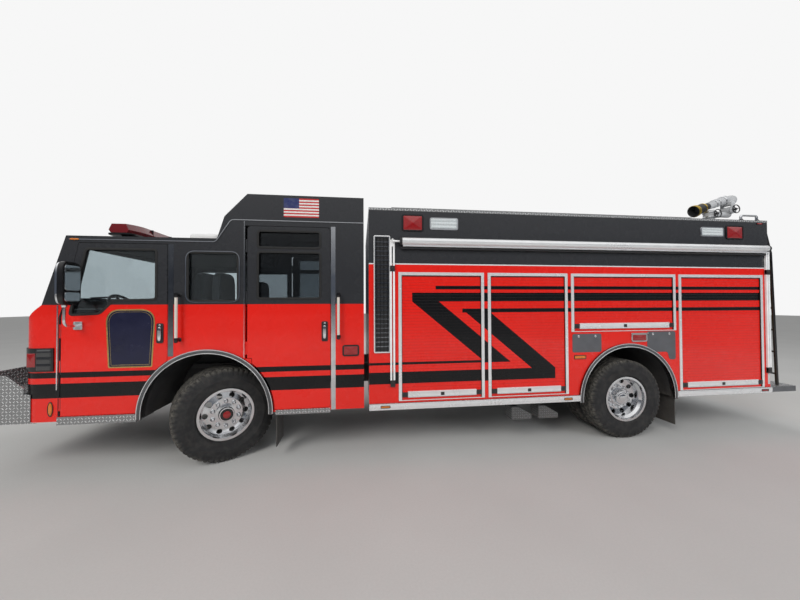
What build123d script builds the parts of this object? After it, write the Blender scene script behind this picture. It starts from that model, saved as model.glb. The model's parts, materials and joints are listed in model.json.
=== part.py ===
"""Custom-cab rescue pumper: a fire engine with a crew cab, a compartment body and a roof monitor.

Frame: millimetres, +Z up, the engine faces -X and its driver's side is -Y. The ground is Z = 0, and
the origin is at the middle of the whole outline on the ground. Places along the engine are given as
distances behind the front axle.
"""
from build123d import *
import os
from math import cos, hypot, radians, sin

# Overall length, worked out from the axles
WHEELBASE = 5280
FRONT_REACH = 2340          # front axle to the bumper's front face
BODY_START = 1825           # front axle to the body's front face
BODY_REACH = 2235           # rear axle to the body's rear face
BODY_END = WHEELBASE + BODY_REACH
TAILBOARD_DEPTH = 430
LENGTH = FRONT_REACH + BODY_END + TAILBOARD_DEPTH
FRONT_AXLE_X = FRONT_REACH - LENGTH / 2
REAR_AXLE_X = FRONT_AXLE_X + WHEELBASE

# Widths and general clearances
CAB_WIDTH = 2500
BODY_WIDTH = 2500
CAB_HALF = CAB_WIDTH / 2
BODY_HALF = BODY_WIDTH / 2
SEAT_GAP = 0.3              # between pieces that lie on each other
DOOR_GAP = 6                # round every door panel

# Wheels and axles
FRONT_TYRE_R = 540
FRONT_TYRE_WIDTH = 414
REAR_TYRE_R = 525
REAR_TYRE_WIDTH = 296
RIM_FLANGE_R = 298.5        # of a 22.5-inch rim
RIM_SEAT_R = 285.7
RIM_WALL = 14
FRONT_RIM_WIDTH = 311
REAR_RIM_WIDTH = 229
RIM_FLANGE = 11
HAND_HOLES = 10
HAND_HOLE_R = 31
HAND_HOLE_CIRCLE_R = 214
KINGPIN_Y = 850
KINGPIN_R = 25
KINGPIN_TO_TYRE = 180       # kingpin to the front tyre's middle plane
STEER_REST = 30             # the front wheels stand turned to the driver's side
DUAL_INNER_Y = 740
DUAL_SPACING = 345
BOSS_R = 44
BOSS_HALF = 70
EAR_THICK = 34
SPINDLE_R = 45
ARM_REACH = 200
ARM_DROP = 85
TIE_PIN_R = 12
TIE_ROD_R = 18

# Frame
RAIL_TOP = 960
RAIL_NOSE_TOP = 857.7       # ahead of the cab floor, under the bumper's top plate
RAIL_HEIGHT = 260
RAIL_HALF = 430
RAIL_FLANGE = 90
RAIL_WALL = 10
RAIL_FRONT = 2230           # ahead of the front axle
RAIL_REAR_GAP = 40
CROSSMEMBER = 90
AXLE_BEAM_HALF_X = 40
AXLE_BEAM_HEIGHT = 90
AXLE_BEAM_DROP = 45
REAR_TUBE_R = 70
DIFF_R = 235
SPRING_Y = 415
SPRING_WIDTH = 80
SPRING_THICK = 60
SPRING_HALF_LENGTH = 700
HANGER_LENGTH = 90

# Cab
CAB_FRONT = -1878
CAB_REAR = 1765
NOSE_BOTTOM = 576
NOSE_TOP = 1639
BELT_Z = 1824
SCREEN_FOOT = -1659
SCREEN_HEAD = -1433
LOW_ROOF_Z = 2578
HIGH_ROOF_Z = 3102
HIGH_ROOF_START = 100
HIGH_ROOF_KNEE = 180
HIGH_ROOF_KNEE_Z = 2835
HIGH_ROOF_CREST = 430
CAB_CORNER_R = 180
CAB_WALL = 60
CAB_FLOOR_TOP = 1020
ARCH_R = 672
ARCH_BAND = 49
ARCH_Z = 595
REAR_ARCH_Z = 560
LINER_WALL = 14
LINER_INNER_Y = 470
RISER_TOP = 1320
RISER_HALF = 560
TUNNEL_TOP = 1500
TUNNEL_HALF = 390
TUNNEL_WALL = 30
TUNNEL_ROOM = 60            # round the engine block, front and rear
ENGINE_FRONT = -1150
ENGINE_LENGTH = 1200
ENGINE_HALF = 325
ENGINE_BOTTOM = 745
ENGINE_TOP = 1440
GLASS = 8
SCREEN_LOW = 70             # up the slope from its foot to the glass
SCREEN_HIGH = 90
SCREEN_HALF = 1085
SCREEN_SET_BACK = 22

# Cab doors: outlines in the side view as (behind the front axle, height)
DOOR_THICK = 54
DOOR_HINGE_ROOM = 26        # ahead of each door, for its hinge barrels
FRONT_DOOR_EDGE = -1470
FRONT_DOOR_REAR = -420
FRONT_DOOR_BOTTOM = 632
FRONT_DOOR_TOP = 2500
FRONT_DOOR_LEAN = 163
FRONT_DOOR_LEAN_START = 130 # below the belt
HINGE_STRIP_TAPER = 0.3
REAR_DOOR_EDGE = 432
REAR_DOOR_REAR = 1368
REAR_DOOR_BOTTOM = 606
REAR_DOOR_TOP = 2730
DOOR_ARCH_GAP = 12          # between a door and the arch's trim
DOOR_HEEL = 50              # corner left out of the rear door beside its hinges
DOOR_HEEL_TOP = 1205
FRONT_WINDOW = [(-533, 1880), (-965, 1872), (-1100, 1728), (-1392, 1716), (-1238, 2436), (-533, 2436)]
WINDOW_CORNER = 28
WINDOW_ABOVE_BELT = 40
MIDDLE_WINDOW_START = -211
MIDDLE_WINDOW_END = 330
MIDDLE_WINDOW_TOP = 2413
REAR_WINDOW_POST = 115
# Rear door windows: bottom, top
REAR_WINDOWS = [(REAR_DOOR_TOP - 248, REAR_DOOR_TOP - 53), (BELT_Z + 65, REAR_DOOR_TOP - 299)]
HINGE_R = 11
HINGE_PIN_R = 5
HINGE_BARREL = 100
HINGE_EAR = 24

# Cab steps, as distances behind the front axle
FRONT_STEP_START = -1505
FRONT_STEP_END = -728
FRONT_STEP_TOP = 622
FRONT_STEP_BOTTOM = 537
REAR_STEP_START = 745
REAR_STEP_TOP = 596
REAR_STEP_BOTTOM = 540
STEP_DEPTH = 300
STEP_WALL = 12

# Body
BODY_BOTTOM = 621
BODY_TOP = 2992
BODY_WALL = 40
RUB_RAIL_BOTTOM = 544
RUB_RAIL_PROUD = 22
COMPARTMENT_START = BODY_START + 359
COMPARTMENT_POST = 50
COMPARTMENT_DEPTH = 640
ARCH_PANEL_AHEAD = 99       # from the arch's band to the compartment edge ahead of it
ARCH_PANEL_BEHIND = 4
AFT_POST = 105
WHEEL_BAY_AHEAD = ARCH_R + ARCH_BAND + ARCH_PANEL_AHEAD
WHEEL_BAY_BEHIND = ARCH_R + ARCH_BAND + ARCH_PANEL_BEHIND
WHEEL_BAY_LENGTH = WHEEL_BAY_AHEAD + WHEEL_BAY_BEHIND
AFT_BAY_LENGTH = BODY_END - AFT_POST - WHEELBASE - WHEEL_BAY_BEHIND - COMPARTMENT_POST
FRONT_BAY_LENGTH = (WHEELBASE - WHEEL_BAY_AHEAD - COMPARTMENT_START) / 2 - COMPARTMENT_POST
FRONT_SILL = 642
WHEEL_SILL = 1445
AFT_SILL = 622
FLOOR_PLATE = 22
POST_LIP = 8                # from a compartment's edge to its bulkhead
SHUTTER_DROP = 782          # body's top to the side shutters' top
SHUTTER_TOP = BODY_TOP - SHUTTER_DROP
SHUTTER_FRAME = 38
SHUTTER_LIP = 8             # frame's bottom edge, and how far it stands proud
SHUTTER_THICK = 18
SHUTTER_SET_BACK = 6
LIFT_BAR_LOW = 40           # above the sill
LIFT_BAR_HIGH = 110
LIFT_BAR_PROUD = 10
REAR_SHUTTER_HALF = 480
REAR_SHUTTER_SILL = 1000
REAR_SHUTTER_DROP = 10
REAR_SHUTTER_TOP = SHUTTER_TOP - REAR_SHUTTER_DROP
BED_DEPTH = 672
BED_BOTTOM = BODY_TOP - BED_DEPTH
BED_HALF = 570
COVER_THICK = 40
COVER_START = BODY_START + 285
COVER_LENGTH = 4270
COVER_HINGE_R = 14
COVER_HINGE_HALF = 60
TANK_AHEAD = 875
TANK_START = BODY_START + TANK_AHEAD
TANK_LENGTH = 3300
PUMP_START = BODY_START + 75
PUMP_LENGTH = 700
PUMP_TOP = 1750
TANK_SHOULDER = 1300
BED_WALL = 12

# Mirrors on the front doors
MIRROR_START = -1345
MIRROR_LENGTH = 90
MIRROR_WIDTH = 232
MIRROR_OUTER_Y = 1500
MIRROR_TOP = 2275
MIRROR_HEIGHT = 455
MIRROR_BASE_Z = 1600
MIRROR_ARM_R = 14
MIRROR_FOOT_HALF = 45

# Nose
GRILLE_HALF = 540
GRILLE_BOTTOM = 920
GRILLE_TOP = 1590
GRILLE_RIM = 50
GRILLE_BARS = 9
GRILLE_BAR = 16
GRILLE_PROUD = 26
BEZEL_REAR = -1533
BEZEL_BOTTOM = 1114
BEZEL_TOP = 1363
BEZEL_INNER_Y = 640
BEZEL_PROUD = 14
LAMP_R = 88

# Bumper and its tray; places are distances ahead of the front axle
BUMPER_BOTTOM = 567
BUMPER_TOP = 870
BUMPER_WALL = 12
BUMPER_REAR = 1700
BUMPER_CHAMFER = 150
TRAY_TOP = 1078
TRAY_REAR_TOP = 940
TRAY_SLOPE_START = 2000
NOSE_GAP = 8

# Grab rails: place behind the front axle, bottom, top
GRAB_RAILS = [(-292, 1400, 1958), (1468, 1405, 1958)]
GRAB_R = 16
GRAB_STANDOFF = 66
TOP_RAIL_START = BODY_END - 385
TOP_RAIL_LENGTH = 330

# Louvre behind the cab
LOUVRE_START = BODY_START + 65
LOUVRE_WIDTH = 188
LOUVRE_BOTTOM = 1236
LOUVRE_TOP = BODY_TOP - 348
LOUVRE_RIM = 16
LOUVRE_PROUD = 16
LOUVRE_VANES = 24
LOUVRE_VANE = 14

# Awning
AWNING_START = BODY_START + 370
AWNING_END = BODY_END - 75
AWNING_Z = BODY_TOP - 415
AWNING_R = 46
AWNING_PIN_R = 22
AWNING_OUT = 58
AWNING_FRONT_ARM = BODY_START + 285
AWNING_REAR_ARM = BODY_END - 35
AWNING_ARM_WIDTH = 58
AWNING_ARM_THICK = 24
AWNING_ARM_BOTTOM = 820

AFT_LAMP_ROOM = 1100        # body's end to the aft white lamp

# Side lamps: start behind the front axle, length, bottom, top
SIDE_LAMPS = [(BODY_START + 405, 269, BODY_TOP - 281, BODY_TOP - 71),
              (BODY_START + 750, 366, BODY_TOP - 256, BODY_TOP - 100),
              (BODY_END - AFT_LAMP_ROOM, 370, BODY_TOP - 254, BODY_TOP - 115),
              (BODY_END - 695, 286, BODY_TOP - 282, BODY_TOP - 86),
              (BODY_END - 185, 110, BODY_TOP - 62, BODY_TOP - 30),
              (CAB_REAR - 256, 199, 1200, 1335),
              (WHEELBASE + 43, 239, WHEEL_SILL - 147, WHEEL_SILL - 33)]
# Tail lamps: bottom, top
TAIL_LAMPS = [(900, 1050), (1070, 1220), (1240, 1390), (BODY_TOP - 432, BODY_TOP - 252)]
TAIL_LAMP_Y = 1120
TAIL_LAMP_HALF = 75
LAMP_PROUD = 22
BAR_START = -1250
BAR_DEPTH = 300
BAR_HALF = 1000
BAR_FOOT_Y = 820
BAR_BOTTOM = 2690
BAR_TOP = 2805
ROOF_BOX_START = -655
ROOF_BOX_LENGTH = 430
ROOF_BOX_HALF = 400
ROOF_BOX_TOP = 2830

# Monitor
MONITOR_PLACE = BODY_END - 435
MONITOR_Y = 850
MONITOR_FLANGE_R = 110
MONITOR_FLANGE = 22
MONITOR_RISER_R = 58
MONITOR_RING_R = 78
MONITOR_RING = 120
MONITOR_ELBOW_UP = 66
MONITOR_PIVOT_UP = 60
MONITOR_NECK_OUT = 95
MONITOR_NECK_UP = 225
MONITOR_RISE = 128
MONITOR_PIPE_R = 44
MONITOR_PIVOT_OUT = 320
MONITOR_PIVOT_R = 56
MONITOR_TRUNNION = 62
MONITOR_CHEEK = 18
CHEEK_HALF = 34
CHEEK_TOP = 130             # above the pivot
MONITOR_SLOPE = 20          # degrees below level at rest
MONITOR_BARREL = 600
MONITOR_NOZZLE = 150
MONITOR_NOZZLE_R = 62

# Ladder, tow eyes, dashboard, underbody
LADDER_OUTER_Y = -1170
LADDER_WIDTH = 420
LADDER_ARM = 80
LADDER_BEND_OUT = 165
LADDER_FOOT_OUT = 235
LADDER_R = 19
LADDER_RUNGS = 6
LADDER_RUNG_R = 13
LADDER_TOP = BODY_TOP - 142
LADDER_BEND = BODY_TOP - 452
TOW_EYE_Y = 385
TOW_EYE_Z = 470
TOW_EYE_RING = 55
TOW_EYE_R = 25
TOW_EYE_THICK = 26
DASH_BOTTOM = 1330
DASH_NOSE_TOP = 1560
DASH_CREST = (-1560, 1785)  # distance behind the front axle and height
DASH_BROW = (-1400, 1770)
DASH_FACE = (-1335, 1640)
HAND_WHEEL_PLACE = -1150
HAND_WHEEL_R = 225
HAND_WHEEL_Z = 1760
FUEL_TANK_BEHIND = 1000
FUEL_TANK_START = WHEELBASE + FUEL_TANK_BEHIND
FUEL_TANK_LENGTH = 900
FUEL_TANK_BOTTOM = 470
AIR_TANK_START = BODY_START + 475
AIR_TANK_LENGTH = 800
AIR_TANK_R = 105
CHOCK_AHEAD = 1623          # rear axle to the front chock
CHOCK_SPACING = 369
CHOCKS = (WHEELBASE - CHOCK_AHEAD, WHEELBASE - CHOCK_AHEAD + CHOCK_SPACING)
CHOCK_LENGTH = 270
CHOCK_HEIGHT = 165
CHOCK_BOTTOM = 320
CHOCK_NOSE = 60
CHOCK_INSET = 60
CHOCK_WIDTH = 200
CHOCK_HANGER = 40
FLAP_THICK = 10
FLAP_BOTTOM = 145
FLAP_WIDTH = 320
FLAP_INSET = 10             # inward of the cab's wall
MID_MEMBER_AHEAD = 1680     # rear axle to the crossmember ahead of it
AFT_MEMBER_BEHIND = 500

# Seats in pairs: name, cushion's front edge behind the front axle, distance off the middle,
# way from the cushion's front to its back, height of what the pedestal stands on
SEATS = [("front", -740, 760, 1, RISER_TOP), ("rear_facing", 520, 800, -1, RISER_TOP),
         ("bench", 1110, 760, 1, CAB_FLOOR_TOP)]
SEAT_PAN_Z = 1420
SEAT_PAD = 115
SEAT_LENGTH = 460
SEAT_WIDTH = 500
SEAT_BACK = 115
SEAT_BACK_HEIGHT = 800
PEDESTAL_LENGTH = 270
PEDESTAL_HALF = 200

# Compartments along each side: name, length, sill height
COMPARTMENTS = [("fore", FRONT_BAY_LENGTH, FRONT_SILL), ("mid", FRONT_BAY_LENGTH, FRONT_SILL),
                ("over_wheel", WHEEL_BAY_LENGTH, WHEEL_SILL), ("aft", AFT_BAY_LENGTH, AFT_SILL)]

NODES = {}


def along(distance):
    """X of a place this far behind the front axle."""
    return FRONT_AXLE_X + distance


def node(name, *shapes):
    """Keep shapes as one named node, as separate solids."""
    NODES.setdefault(name, []).extend(solid for shape in shapes for solid in shape.solids())


def block(x0, x1, y0, y1, z0, z1):
    """Block between two corners."""
    return Pos((x0 + x1) / 2, (y0 + y1) / 2, (z0 + z1) / 2) * Box(x1 - x0, y1 - y0, z1 - z0)


def pair(shape):
    """A left shape and its mirror on the right."""
    return [shape, mirror(shape, about=Plane.XZ)]


def outline(points, radius=0):
    """Closed flat outline of straight sides, its corners rounded where a radius is given."""
    face = Polygon(*points, align=None)
    return fillet(face.vertices(), radius) if radius else face


def rectangle(u0, u1, v0, v1, radius=0):
    """Upright rectangle between two corners."""
    return outline([(u0, v0), (u1, v0), (u1, v1), (u0, v1)], radius)


def across(face, y0, y1):
    """Side-view outline (X, Z) carried across from y0 to y1."""
    return extrude(Plane.XZ.offset(-y1) * face, amount=y1 - y0, dir=(0, -1, 0))


def lengthwise(face, x0, x1):
    """Front-view outline (Y, Z) carried along from x0 to x1."""
    return extrude(Plane.YZ.offset(x0) * face, amount=x1 - x0, dir=(1, 0, 0))


def upward(face, z0, z1):
    """Plan outline (X, Y) carried up from z0 to z1."""
    return Pos(0, 0, z0) * extrude(face, amount=z1 - z0, dir=(0, 0, 1))


def turned(points):
    """Ring or disc about Z from its section (radius, height)."""
    return revolve(Plane.XZ * Polygon(*points, align=None), axis=Axis.Z)


def rod(start, end, radius):
    """Round bar between two points."""
    line = Line(start, end)
    return extrude(Plane(start, z_dir=line % 0) * Circle(radius), amount=line.length)


def tube(points, radius):
    """Round tube along straight runs, its bends as balls."""
    pipe = rod(points[0], points[1], radius)
    for start, end in zip(points[1:], points[2:]):
        pipe += Pos(*start) * Sphere(radius)
        pipe += rod(start, end, radius)
    return pipe


def arch_disc(x, z, radius, half=CAB_HALF + 100, inner=0):
    """Cylinder across the engine at an axle, from the inner distance out on both sides."""
    disc = Pos(x, z) * Circle(radius)
    if inner:
        return [across(disc, -half, -inner), across(disc, inner, half)]
    return [across(disc, -half, half)]


# Wheels
def tyre(radius, width, rim_width):
    """Tyre about Z: bead, sidewall bulge, shoulder and flat tread."""
    half = width / 2
    bead = rim_width / 2 - SEAT_GAP
    side = [(RIM_SEAT_R + SEAT_GAP, bead), (RIM_FLANGE_R + 4, bead), (RIM_FLANGE_R + 14, half - 22),
            (RIM_FLANGE_R + 66, half), (radius - 78, half), (radius - 12, half - 22), (radius, half - 52)]
    return turned(side + [(r, -z) for r, z in reversed(side)])


def rim_barrel(rim_width):
    """Rim about Z: a tapered well between two flanges."""
    half = rim_width / 2
    drop = RIM_SEAT_R - 24
    outer = [(RIM_SEAT_R, half), (RIM_FLANGE_R, half), (RIM_FLANGE_R, half + RIM_FLANGE)]
    inner = RIM_SEAT_R - RIM_WALL
    section = outer + [(inner, half + RIM_FLANGE), (inner, half - 30), (drop - RIM_WALL, half - 60)]
    section += [(drop - RIM_WALL, 60 - half), (inner, 30 - half), (inner, -half - RIM_FLANGE)]
    section += [(r, -z) for r, z in reversed(outer)]
    section += [(RIM_SEAT_R, 34 - half), (drop, 64 - half), (drop, half - 64), (RIM_SEAT_R, half - 34)]
    return turned(section)


def wheel_disc(face_z, rim_z, bore):
    """Pierced wheel disc about Z, coned from its flat face out to the rim."""
    thick = 22
    reach = RIM_SEAT_R - RIM_WALL + 2
    flat = 178
    section = [(bore, face_z), (flat, face_z), (reach, rim_z), (reach, rim_z - thick), (flat, face_z - thick),
               (bore, face_z - thick)]
    disc = turned(section)
    holes = [Rot(0, 0, 360 * i / HAND_HOLES) * Pos(HAND_HOLE_CIRCLE_R, 0, face_z) * Cylinder(HAND_HOLE_R, 400)
             for i in range(HAND_HOLES)]
    return disc - holes


def on_kingpin(shape, side):
    """Seat a front wheel's shape, built about Z from the kingpin outwards."""
    turn = Rot(90, 0, 0) if side < 0 else Rot(-90, 0, 0)
    return Pos(FRONT_AXLE_X, side * KINGPIN_Y, FRONT_TYRE_R) * Rot(0, 0, STEER_REST) * turn * shape


def on_rear_axle(shape, side):
    """Seat a rear wheel's shape, built about Z from the engine's middle outwards."""
    turn = Rot(90, 0, 0) if side < 0 else Rot(-90, 0, 0)
    return Pos(REAR_AXLE_X, 0, REAR_TYRE_R) * turn * shape


HUB_START = 92
FRONT_DISC_Z = KINGPIN_TO_TYRE + FRONT_RIM_WIDTH / 2 - 50
DUAL_OUTER_Y = DUAL_INNER_Y + DUAL_SPACING
REAR_DISC_Z = DUAL_OUTER_Y + REAR_RIM_WIDTH / 2 - 150
HUB_R = 128
PILOT_R = 110
SPINDLE_END = FRONT_DISC_Z - 10
REAR_HUB_START = 620

front_hub = turned([(SPINDLE_R + SEAT_GAP, HUB_START), (HUB_R, HUB_START), (HUB_R, FRONT_DISC_Z - 22),
                    (PILOT_R, FRONT_DISC_Z - 22), (PILOT_R, FRONT_DISC_Z + 18), (84, FRONT_DISC_Z + 22),
                    (78, FRONT_DISC_Z + 70), (0, FRONT_DISC_Z + 74), (0, SPINDLE_END + SEAT_GAP),
                    (SPINDLE_R + SEAT_GAP, SPINDLE_END + SEAT_GAP)])
rear_hub = turned([(SPINDLE_R + SEAT_GAP, REAR_HUB_START), (HUB_R, REAR_HUB_START), (HUB_R, REAR_DISC_Z - 22),
                   (PILOT_R, REAR_DISC_Z - 22), (PILOT_R, REAR_DISC_Z + 20), (94, REAR_DISC_Z + 24),
                   (88, REAR_DISC_Z + 96), (0, REAR_DISC_Z + 100), (0, REAR_DISC_Z + SEAT_GAP - 60),
                   (SPINDLE_R + SEAT_GAP, REAR_DISC_Z + SEAT_GAP - 60)])
front_rim = Pos(0, 0, KINGPIN_TO_TYRE) * rim_barrel(FRONT_RIM_WIDTH)
front_rim += wheel_disc(FRONT_DISC_Z, FRONT_DISC_Z - 26, PILOT_R)
rear_rim = Pos(0, 0, DUAL_OUTER_Y) * rim_barrel(REAR_RIM_WIDTH)
rear_rim += wheel_disc(REAR_DISC_Z, REAR_DISC_Z + 26, PILOT_R)
inner_rim = Pos(0, 0, DUAL_INNER_Y) * rim_barrel(REAR_RIM_WIDTH)
inner_rim += turned([(HUB_R, DUAL_INNER_Y + 40), (RIM_SEAT_R - 36, DUAL_INNER_Y + 40),
                     (RIM_SEAT_R - 36, DUAL_INNER_Y + 62), (HUB_R, DUAL_INNER_Y + 62)])
for side, hand in ((-1, "left"), (1, "right")):
    front_tyre = Pos(0, 0, KINGPIN_TO_TYRE) * tyre(FRONT_TYRE_R, FRONT_TYRE_WIDTH, FRONT_RIM_WIDTH)
    node(f"front_tyre_{hand}", on_kingpin(front_tyre, side))
    node(f"front_wheel_{hand}", on_kingpin(front_rim + front_hub, side))
    rear_tyre = tyre(REAR_TYRE_R, REAR_TYRE_WIDTH, REAR_RIM_WIDTH)
    dual = [on_rear_axle(Pos(0, 0, y) * rear_tyre, side) for y in (DUAL_INNER_Y, DUAL_OUTER_Y)]
    node(f"rear_tyres_{hand}", *dual)
    node(f"rear_wheels_{hand}", on_rear_axle(rear_rim + inner_rim + rear_hub, side))

# Knuckles: built for the left at the kingpin, outboard towards -Y, then mirrored and turned
EAR_Z = BOSS_HALF + SEAT_GAP
WEB_Y = BOSS_R + 14
knuckle = block(-48, 48, -WEB_Y - 30, -WEB_Y, -EAR_Z - EAR_THICK, EAR_Z + EAR_THICK)
for z in (EAR_Z, -EAR_Z - EAR_THICK):
    knuckle += block(-48, 48, -WEB_Y, 0, z, z + EAR_THICK)
    knuckle += Pos(0, 0, z + EAR_THICK / 2) * Cylinder(48, EAR_THICK)
knuckle += Cylinder(KINGPIN_R, 2 * EAR_Z)
knuckle += rod((0, -WEB_Y - 10, 0), (0, -SPINDLE_END, 0), SPINDLE_R)
knuckle += block(0, ARM_REACH, -24, 24, -EAR_Z - EAR_THICK, -ARM_DROP)
knuckle += Pos(ARM_REACH, 0, -EAR_Z - EAR_THICK / 2) * Cylinder(24, EAR_THICK)
knuckle += Pos(ARM_REACH, 0, -EAR_Z + 16) * Cylinder(TIE_PIN_R, 46)
for side, hand in ((-1, "left"), (1, "right")):
    shape = knuckle if side < 0 else mirror(knuckle, about=Plane.XZ)
    node(f"knuckle_{hand}", Pos(FRONT_AXLE_X, side * KINGPIN_Y, FRONT_TYRE_R) * Rot(0, 0, STEER_REST) * shape)

arm_x = FRONT_AXLE_X + ARM_REACH * cos(radians(STEER_REST))
arm_y = ARM_REACH * sin(radians(STEER_REST))
rod_z = FRONT_TYRE_R - BOSS_HALF + 14
ends = [(arm_x, arm_y - KINGPIN_Y), (arm_x, arm_y + KINGPIN_Y)]
tie_rod = rod((arm_x, ends[0][1] + 26, rod_z), (arm_x, ends[1][1] - 26, rod_z), TIE_ROD_R)
for x, y in ends:
    tie_rod += Pos(x, y, rod_z) * Cylinder(30, 24)
for x, y in ends:
    tie_rod -= Pos(x, y, rod_z) * Cylinder(TIE_PIN_R + SEAT_GAP, 200)
node("tie_rod", tie_rod)

# Springs: a leaf pack as one bowed bar, with its seat on the axle and hangers under the rails
rail_bottom = RAIL_TOP - RAIL_HEIGHT
rail_web_y = RAIL_HALF - RAIL_WALL / 2


def spring(x, seat_z, low, seat_half):
    """Leaf pack bowed down from the rail's hangers to its seat on an axle."""
    high = rail_bottom - 24
    lower = [(x - SPRING_HALF_LENGTH, high - SPRING_THICK), (x - 120, low), (x + 120, low),
             (x + SPRING_HALF_LENGTH, high - SPRING_THICK)]
    upper = [(x + SPRING_HALF_LENGTH, high), (x + 120, low + SPRING_THICK), (x - 120, low + SPRING_THICK),
             (x - SPRING_HALF_LENGTH, high)]
    face = outline(lower + upper)
    face += rectangle(x - seat_half, x + seat_half, seat_z, low + 10)
    for end in (x - SPRING_HALF_LENGTH, x + SPRING_HALF_LENGTH - HANGER_LENGTH):
        face += rectangle(end, end + HANGER_LENGTH, high - SPRING_THICK, rail_bottom - SEAT_GAP)
    return across(face, -SPRING_Y - SPRING_WIDTH / 2, -SPRING_Y + SPRING_WIDTH / 2)


# Front axle: a dropped beam between the kingpins, with its springs
beam_z = FRONT_TYRE_R
half_beam = AXLE_BEAM_HEIGHT / 2
beam_side = [(-KINGPIN_Y, beam_z - half_beam), (-KINGPIN_Y + 130, beam_z - half_beam),
             (-KINGPIN_Y + 220, beam_z - half_beam - AXLE_BEAM_DROP)]
beam_top = [(-KINGPIN_Y + 230, beam_z + half_beam - AXLE_BEAM_DROP), (-KINGPIN_Y + 140, beam_z + half_beam),
            (-KINGPIN_Y, beam_z + half_beam)]
beam_face = outline(beam_side + [(-y, z) for y, z in reversed(beam_side)]
                    + [(-y, z) for y, z in reversed(beam_top)] + beam_top)
axle_beam = lengthwise(beam_face, FRONT_AXLE_X - AXLE_BEAM_HALF_X, FRONT_AXLE_X + AXLE_BEAM_HALF_X)
for side in (-1, 1):
    axle_beam += Pos(FRONT_AXLE_X, side * KINGPIN_Y, beam_z) * Cylinder(BOSS_R, 2 * BOSS_HALF)
for side in (-1, 1):
    axle_beam -= Pos(FRONT_AXLE_X, side * KINGPIN_Y, beam_z) * Cylinder(KINGPIN_R + SEAT_GAP, 300)
front_seat_z = beam_z + half_beam - AXLE_BEAM_DROP
for shape in pair(spring(FRONT_AXLE_X, front_seat_z - 5, front_seat_z + 24, AXLE_BEAM_HALF_X)):
    axle_beam += shape
node("front_axle", axle_beam)

# Rear axle: tube, banjo and spindles, with its springs
tube_y = REAR_HUB_START - 8
spindle_y = REAR_DISC_Z - 70
rear_axle = rod((REAR_AXLE_X, -tube_y, REAR_TYRE_R), (REAR_AXLE_X, tube_y, REAR_TYRE_R), REAR_TUBE_R)
rear_axle += rod((REAR_AXLE_X, -spindle_y, REAR_TYRE_R), (REAR_AXLE_X, spindle_y, REAR_TYRE_R), SPINDLE_R)
banjo = [(0, -120), (150, -120), (DIFF_R, -50), (DIFF_R, 50), (150, 120), (0, 120)]
rear_axle += Pos(REAR_AXLE_X, 0, REAR_TYRE_R) * Rot(0, 90, 0) * turned(banjo)
for shape in pair(spring(REAR_AXLE_X, REAR_TYRE_R, REAR_TYRE_R + REAR_TUBE_R + 8, 60)):
    rear_axle += shape
node("rear_axle", rear_axle)

# Frame: two channels and their crossmembers
rail_x0 = along(-RAIL_FRONT)
rail_x1 = along(BODY_END - RAIL_REAR_GAP)
channel = rectangle(-RAIL_HALF, -RAIL_HALF + RAIL_FLANGE, rail_bottom, RAIL_TOP)
channel -= rectangle(-RAIL_HALF + RAIL_WALL, 0, rail_bottom + RAIL_WALL, RAIL_TOP - RAIL_WALL)
left_rail = lengthwise(channel, rail_x0, rail_x1)
frame = left_rail + mirror(left_rail, about=Plane.XZ)
# Crossmembers: distance behind the front axle, bottom and top height
CROSSMEMBERS = [(-RAIL_FRONT, rail_bottom, RAIL_TOP),
                (ENGINE_FRONT + 40, rail_bottom - 40, ENGINE_BOTTOM),
                (ENGINE_FRONT + ENGINE_LENGTH - 160, rail_bottom - 40, ENGINE_BOTTOM),
                (BODY_START + 300, rail_bottom + 30, RAIL_TOP - 30),
                (WHEELBASE - MID_MEMBER_AHEAD, rail_bottom + 30, RAIL_TOP - 30),
                (WHEELBASE + AFT_MEMBER_BEHIND, rail_bottom + 60, RAIL_TOP - 30),
                (BODY_END - RAIL_REAR_GAP - CROSSMEMBER, rail_bottom, RAIL_TOP)]
for place, z0, z1 in CROSSMEMBERS:
    frame += block(along(place), along(place) + CROSSMEMBER, -rail_web_y, rail_web_y, z0, z1)
frame -= block(rail_x0 - 10, along(CAB_FRONT) + CROSSMEMBER, -RAIL_HALF - 10, RAIL_HALF + 10,
               RAIL_NOSE_TOP, RAIL_TOP + 10)
node("frame", frame)
node("engine_block", block(along(ENGINE_FRONT), along(ENGINE_FRONT + ENGINE_LENGTH),
                           -ENGINE_HALF, ENGINE_HALF, ENGINE_BOTTOM + SEAT_GAP, ENGINE_TOP))


# Cab form
def cab_side():
    """Cab outline in the side view."""
    return outline([(along(CAB_FRONT), NOSE_BOTTOM), (along(CAB_FRONT), NOSE_TOP), (along(SCREEN_FOOT), BELT_Z),
                    (along(SCREEN_HEAD), LOW_ROOF_Z), (along(HIGH_ROOF_START), LOW_ROOF_Z),
                    (along(HIGH_ROOF_KNEE), HIGH_ROOF_KNEE_Z), (along(HIGH_ROOF_CREST), HIGH_ROOF_Z),
                    (along(CAB_REAR), HIGH_ROOF_Z), (along(CAB_REAR), NOSE_BOTTOM)])


def cab_plan():
    """Cab outline from above, its front corners round."""
    face = rectangle(along(CAB_FRONT), along(CAB_REAR), -CAB_HALF, CAB_HALF)
    front = [v for v in face.vertices() if v.X < FRONT_AXLE_X]
    return fillet(front, CAB_CORNER_R)


def cab_form(inset):
    """The cab's block, set in by a wall or out by a clearance."""
    side = offset(cab_side(), -inset, kind=Kind.INTERSECTION) if inset else cab_side()
    plan = offset(cab_plan(), -inset) if inset else cab_plan()
    return across(side, -2 * CAB_HALF, 2 * CAB_HALF) & upward(plan, 0, 2 * HIGH_ROOF_Z)


screen_length = hypot(SCREEN_HEAD - SCREEN_FOOT, LOW_ROOF_Z - BELT_Z)


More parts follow.
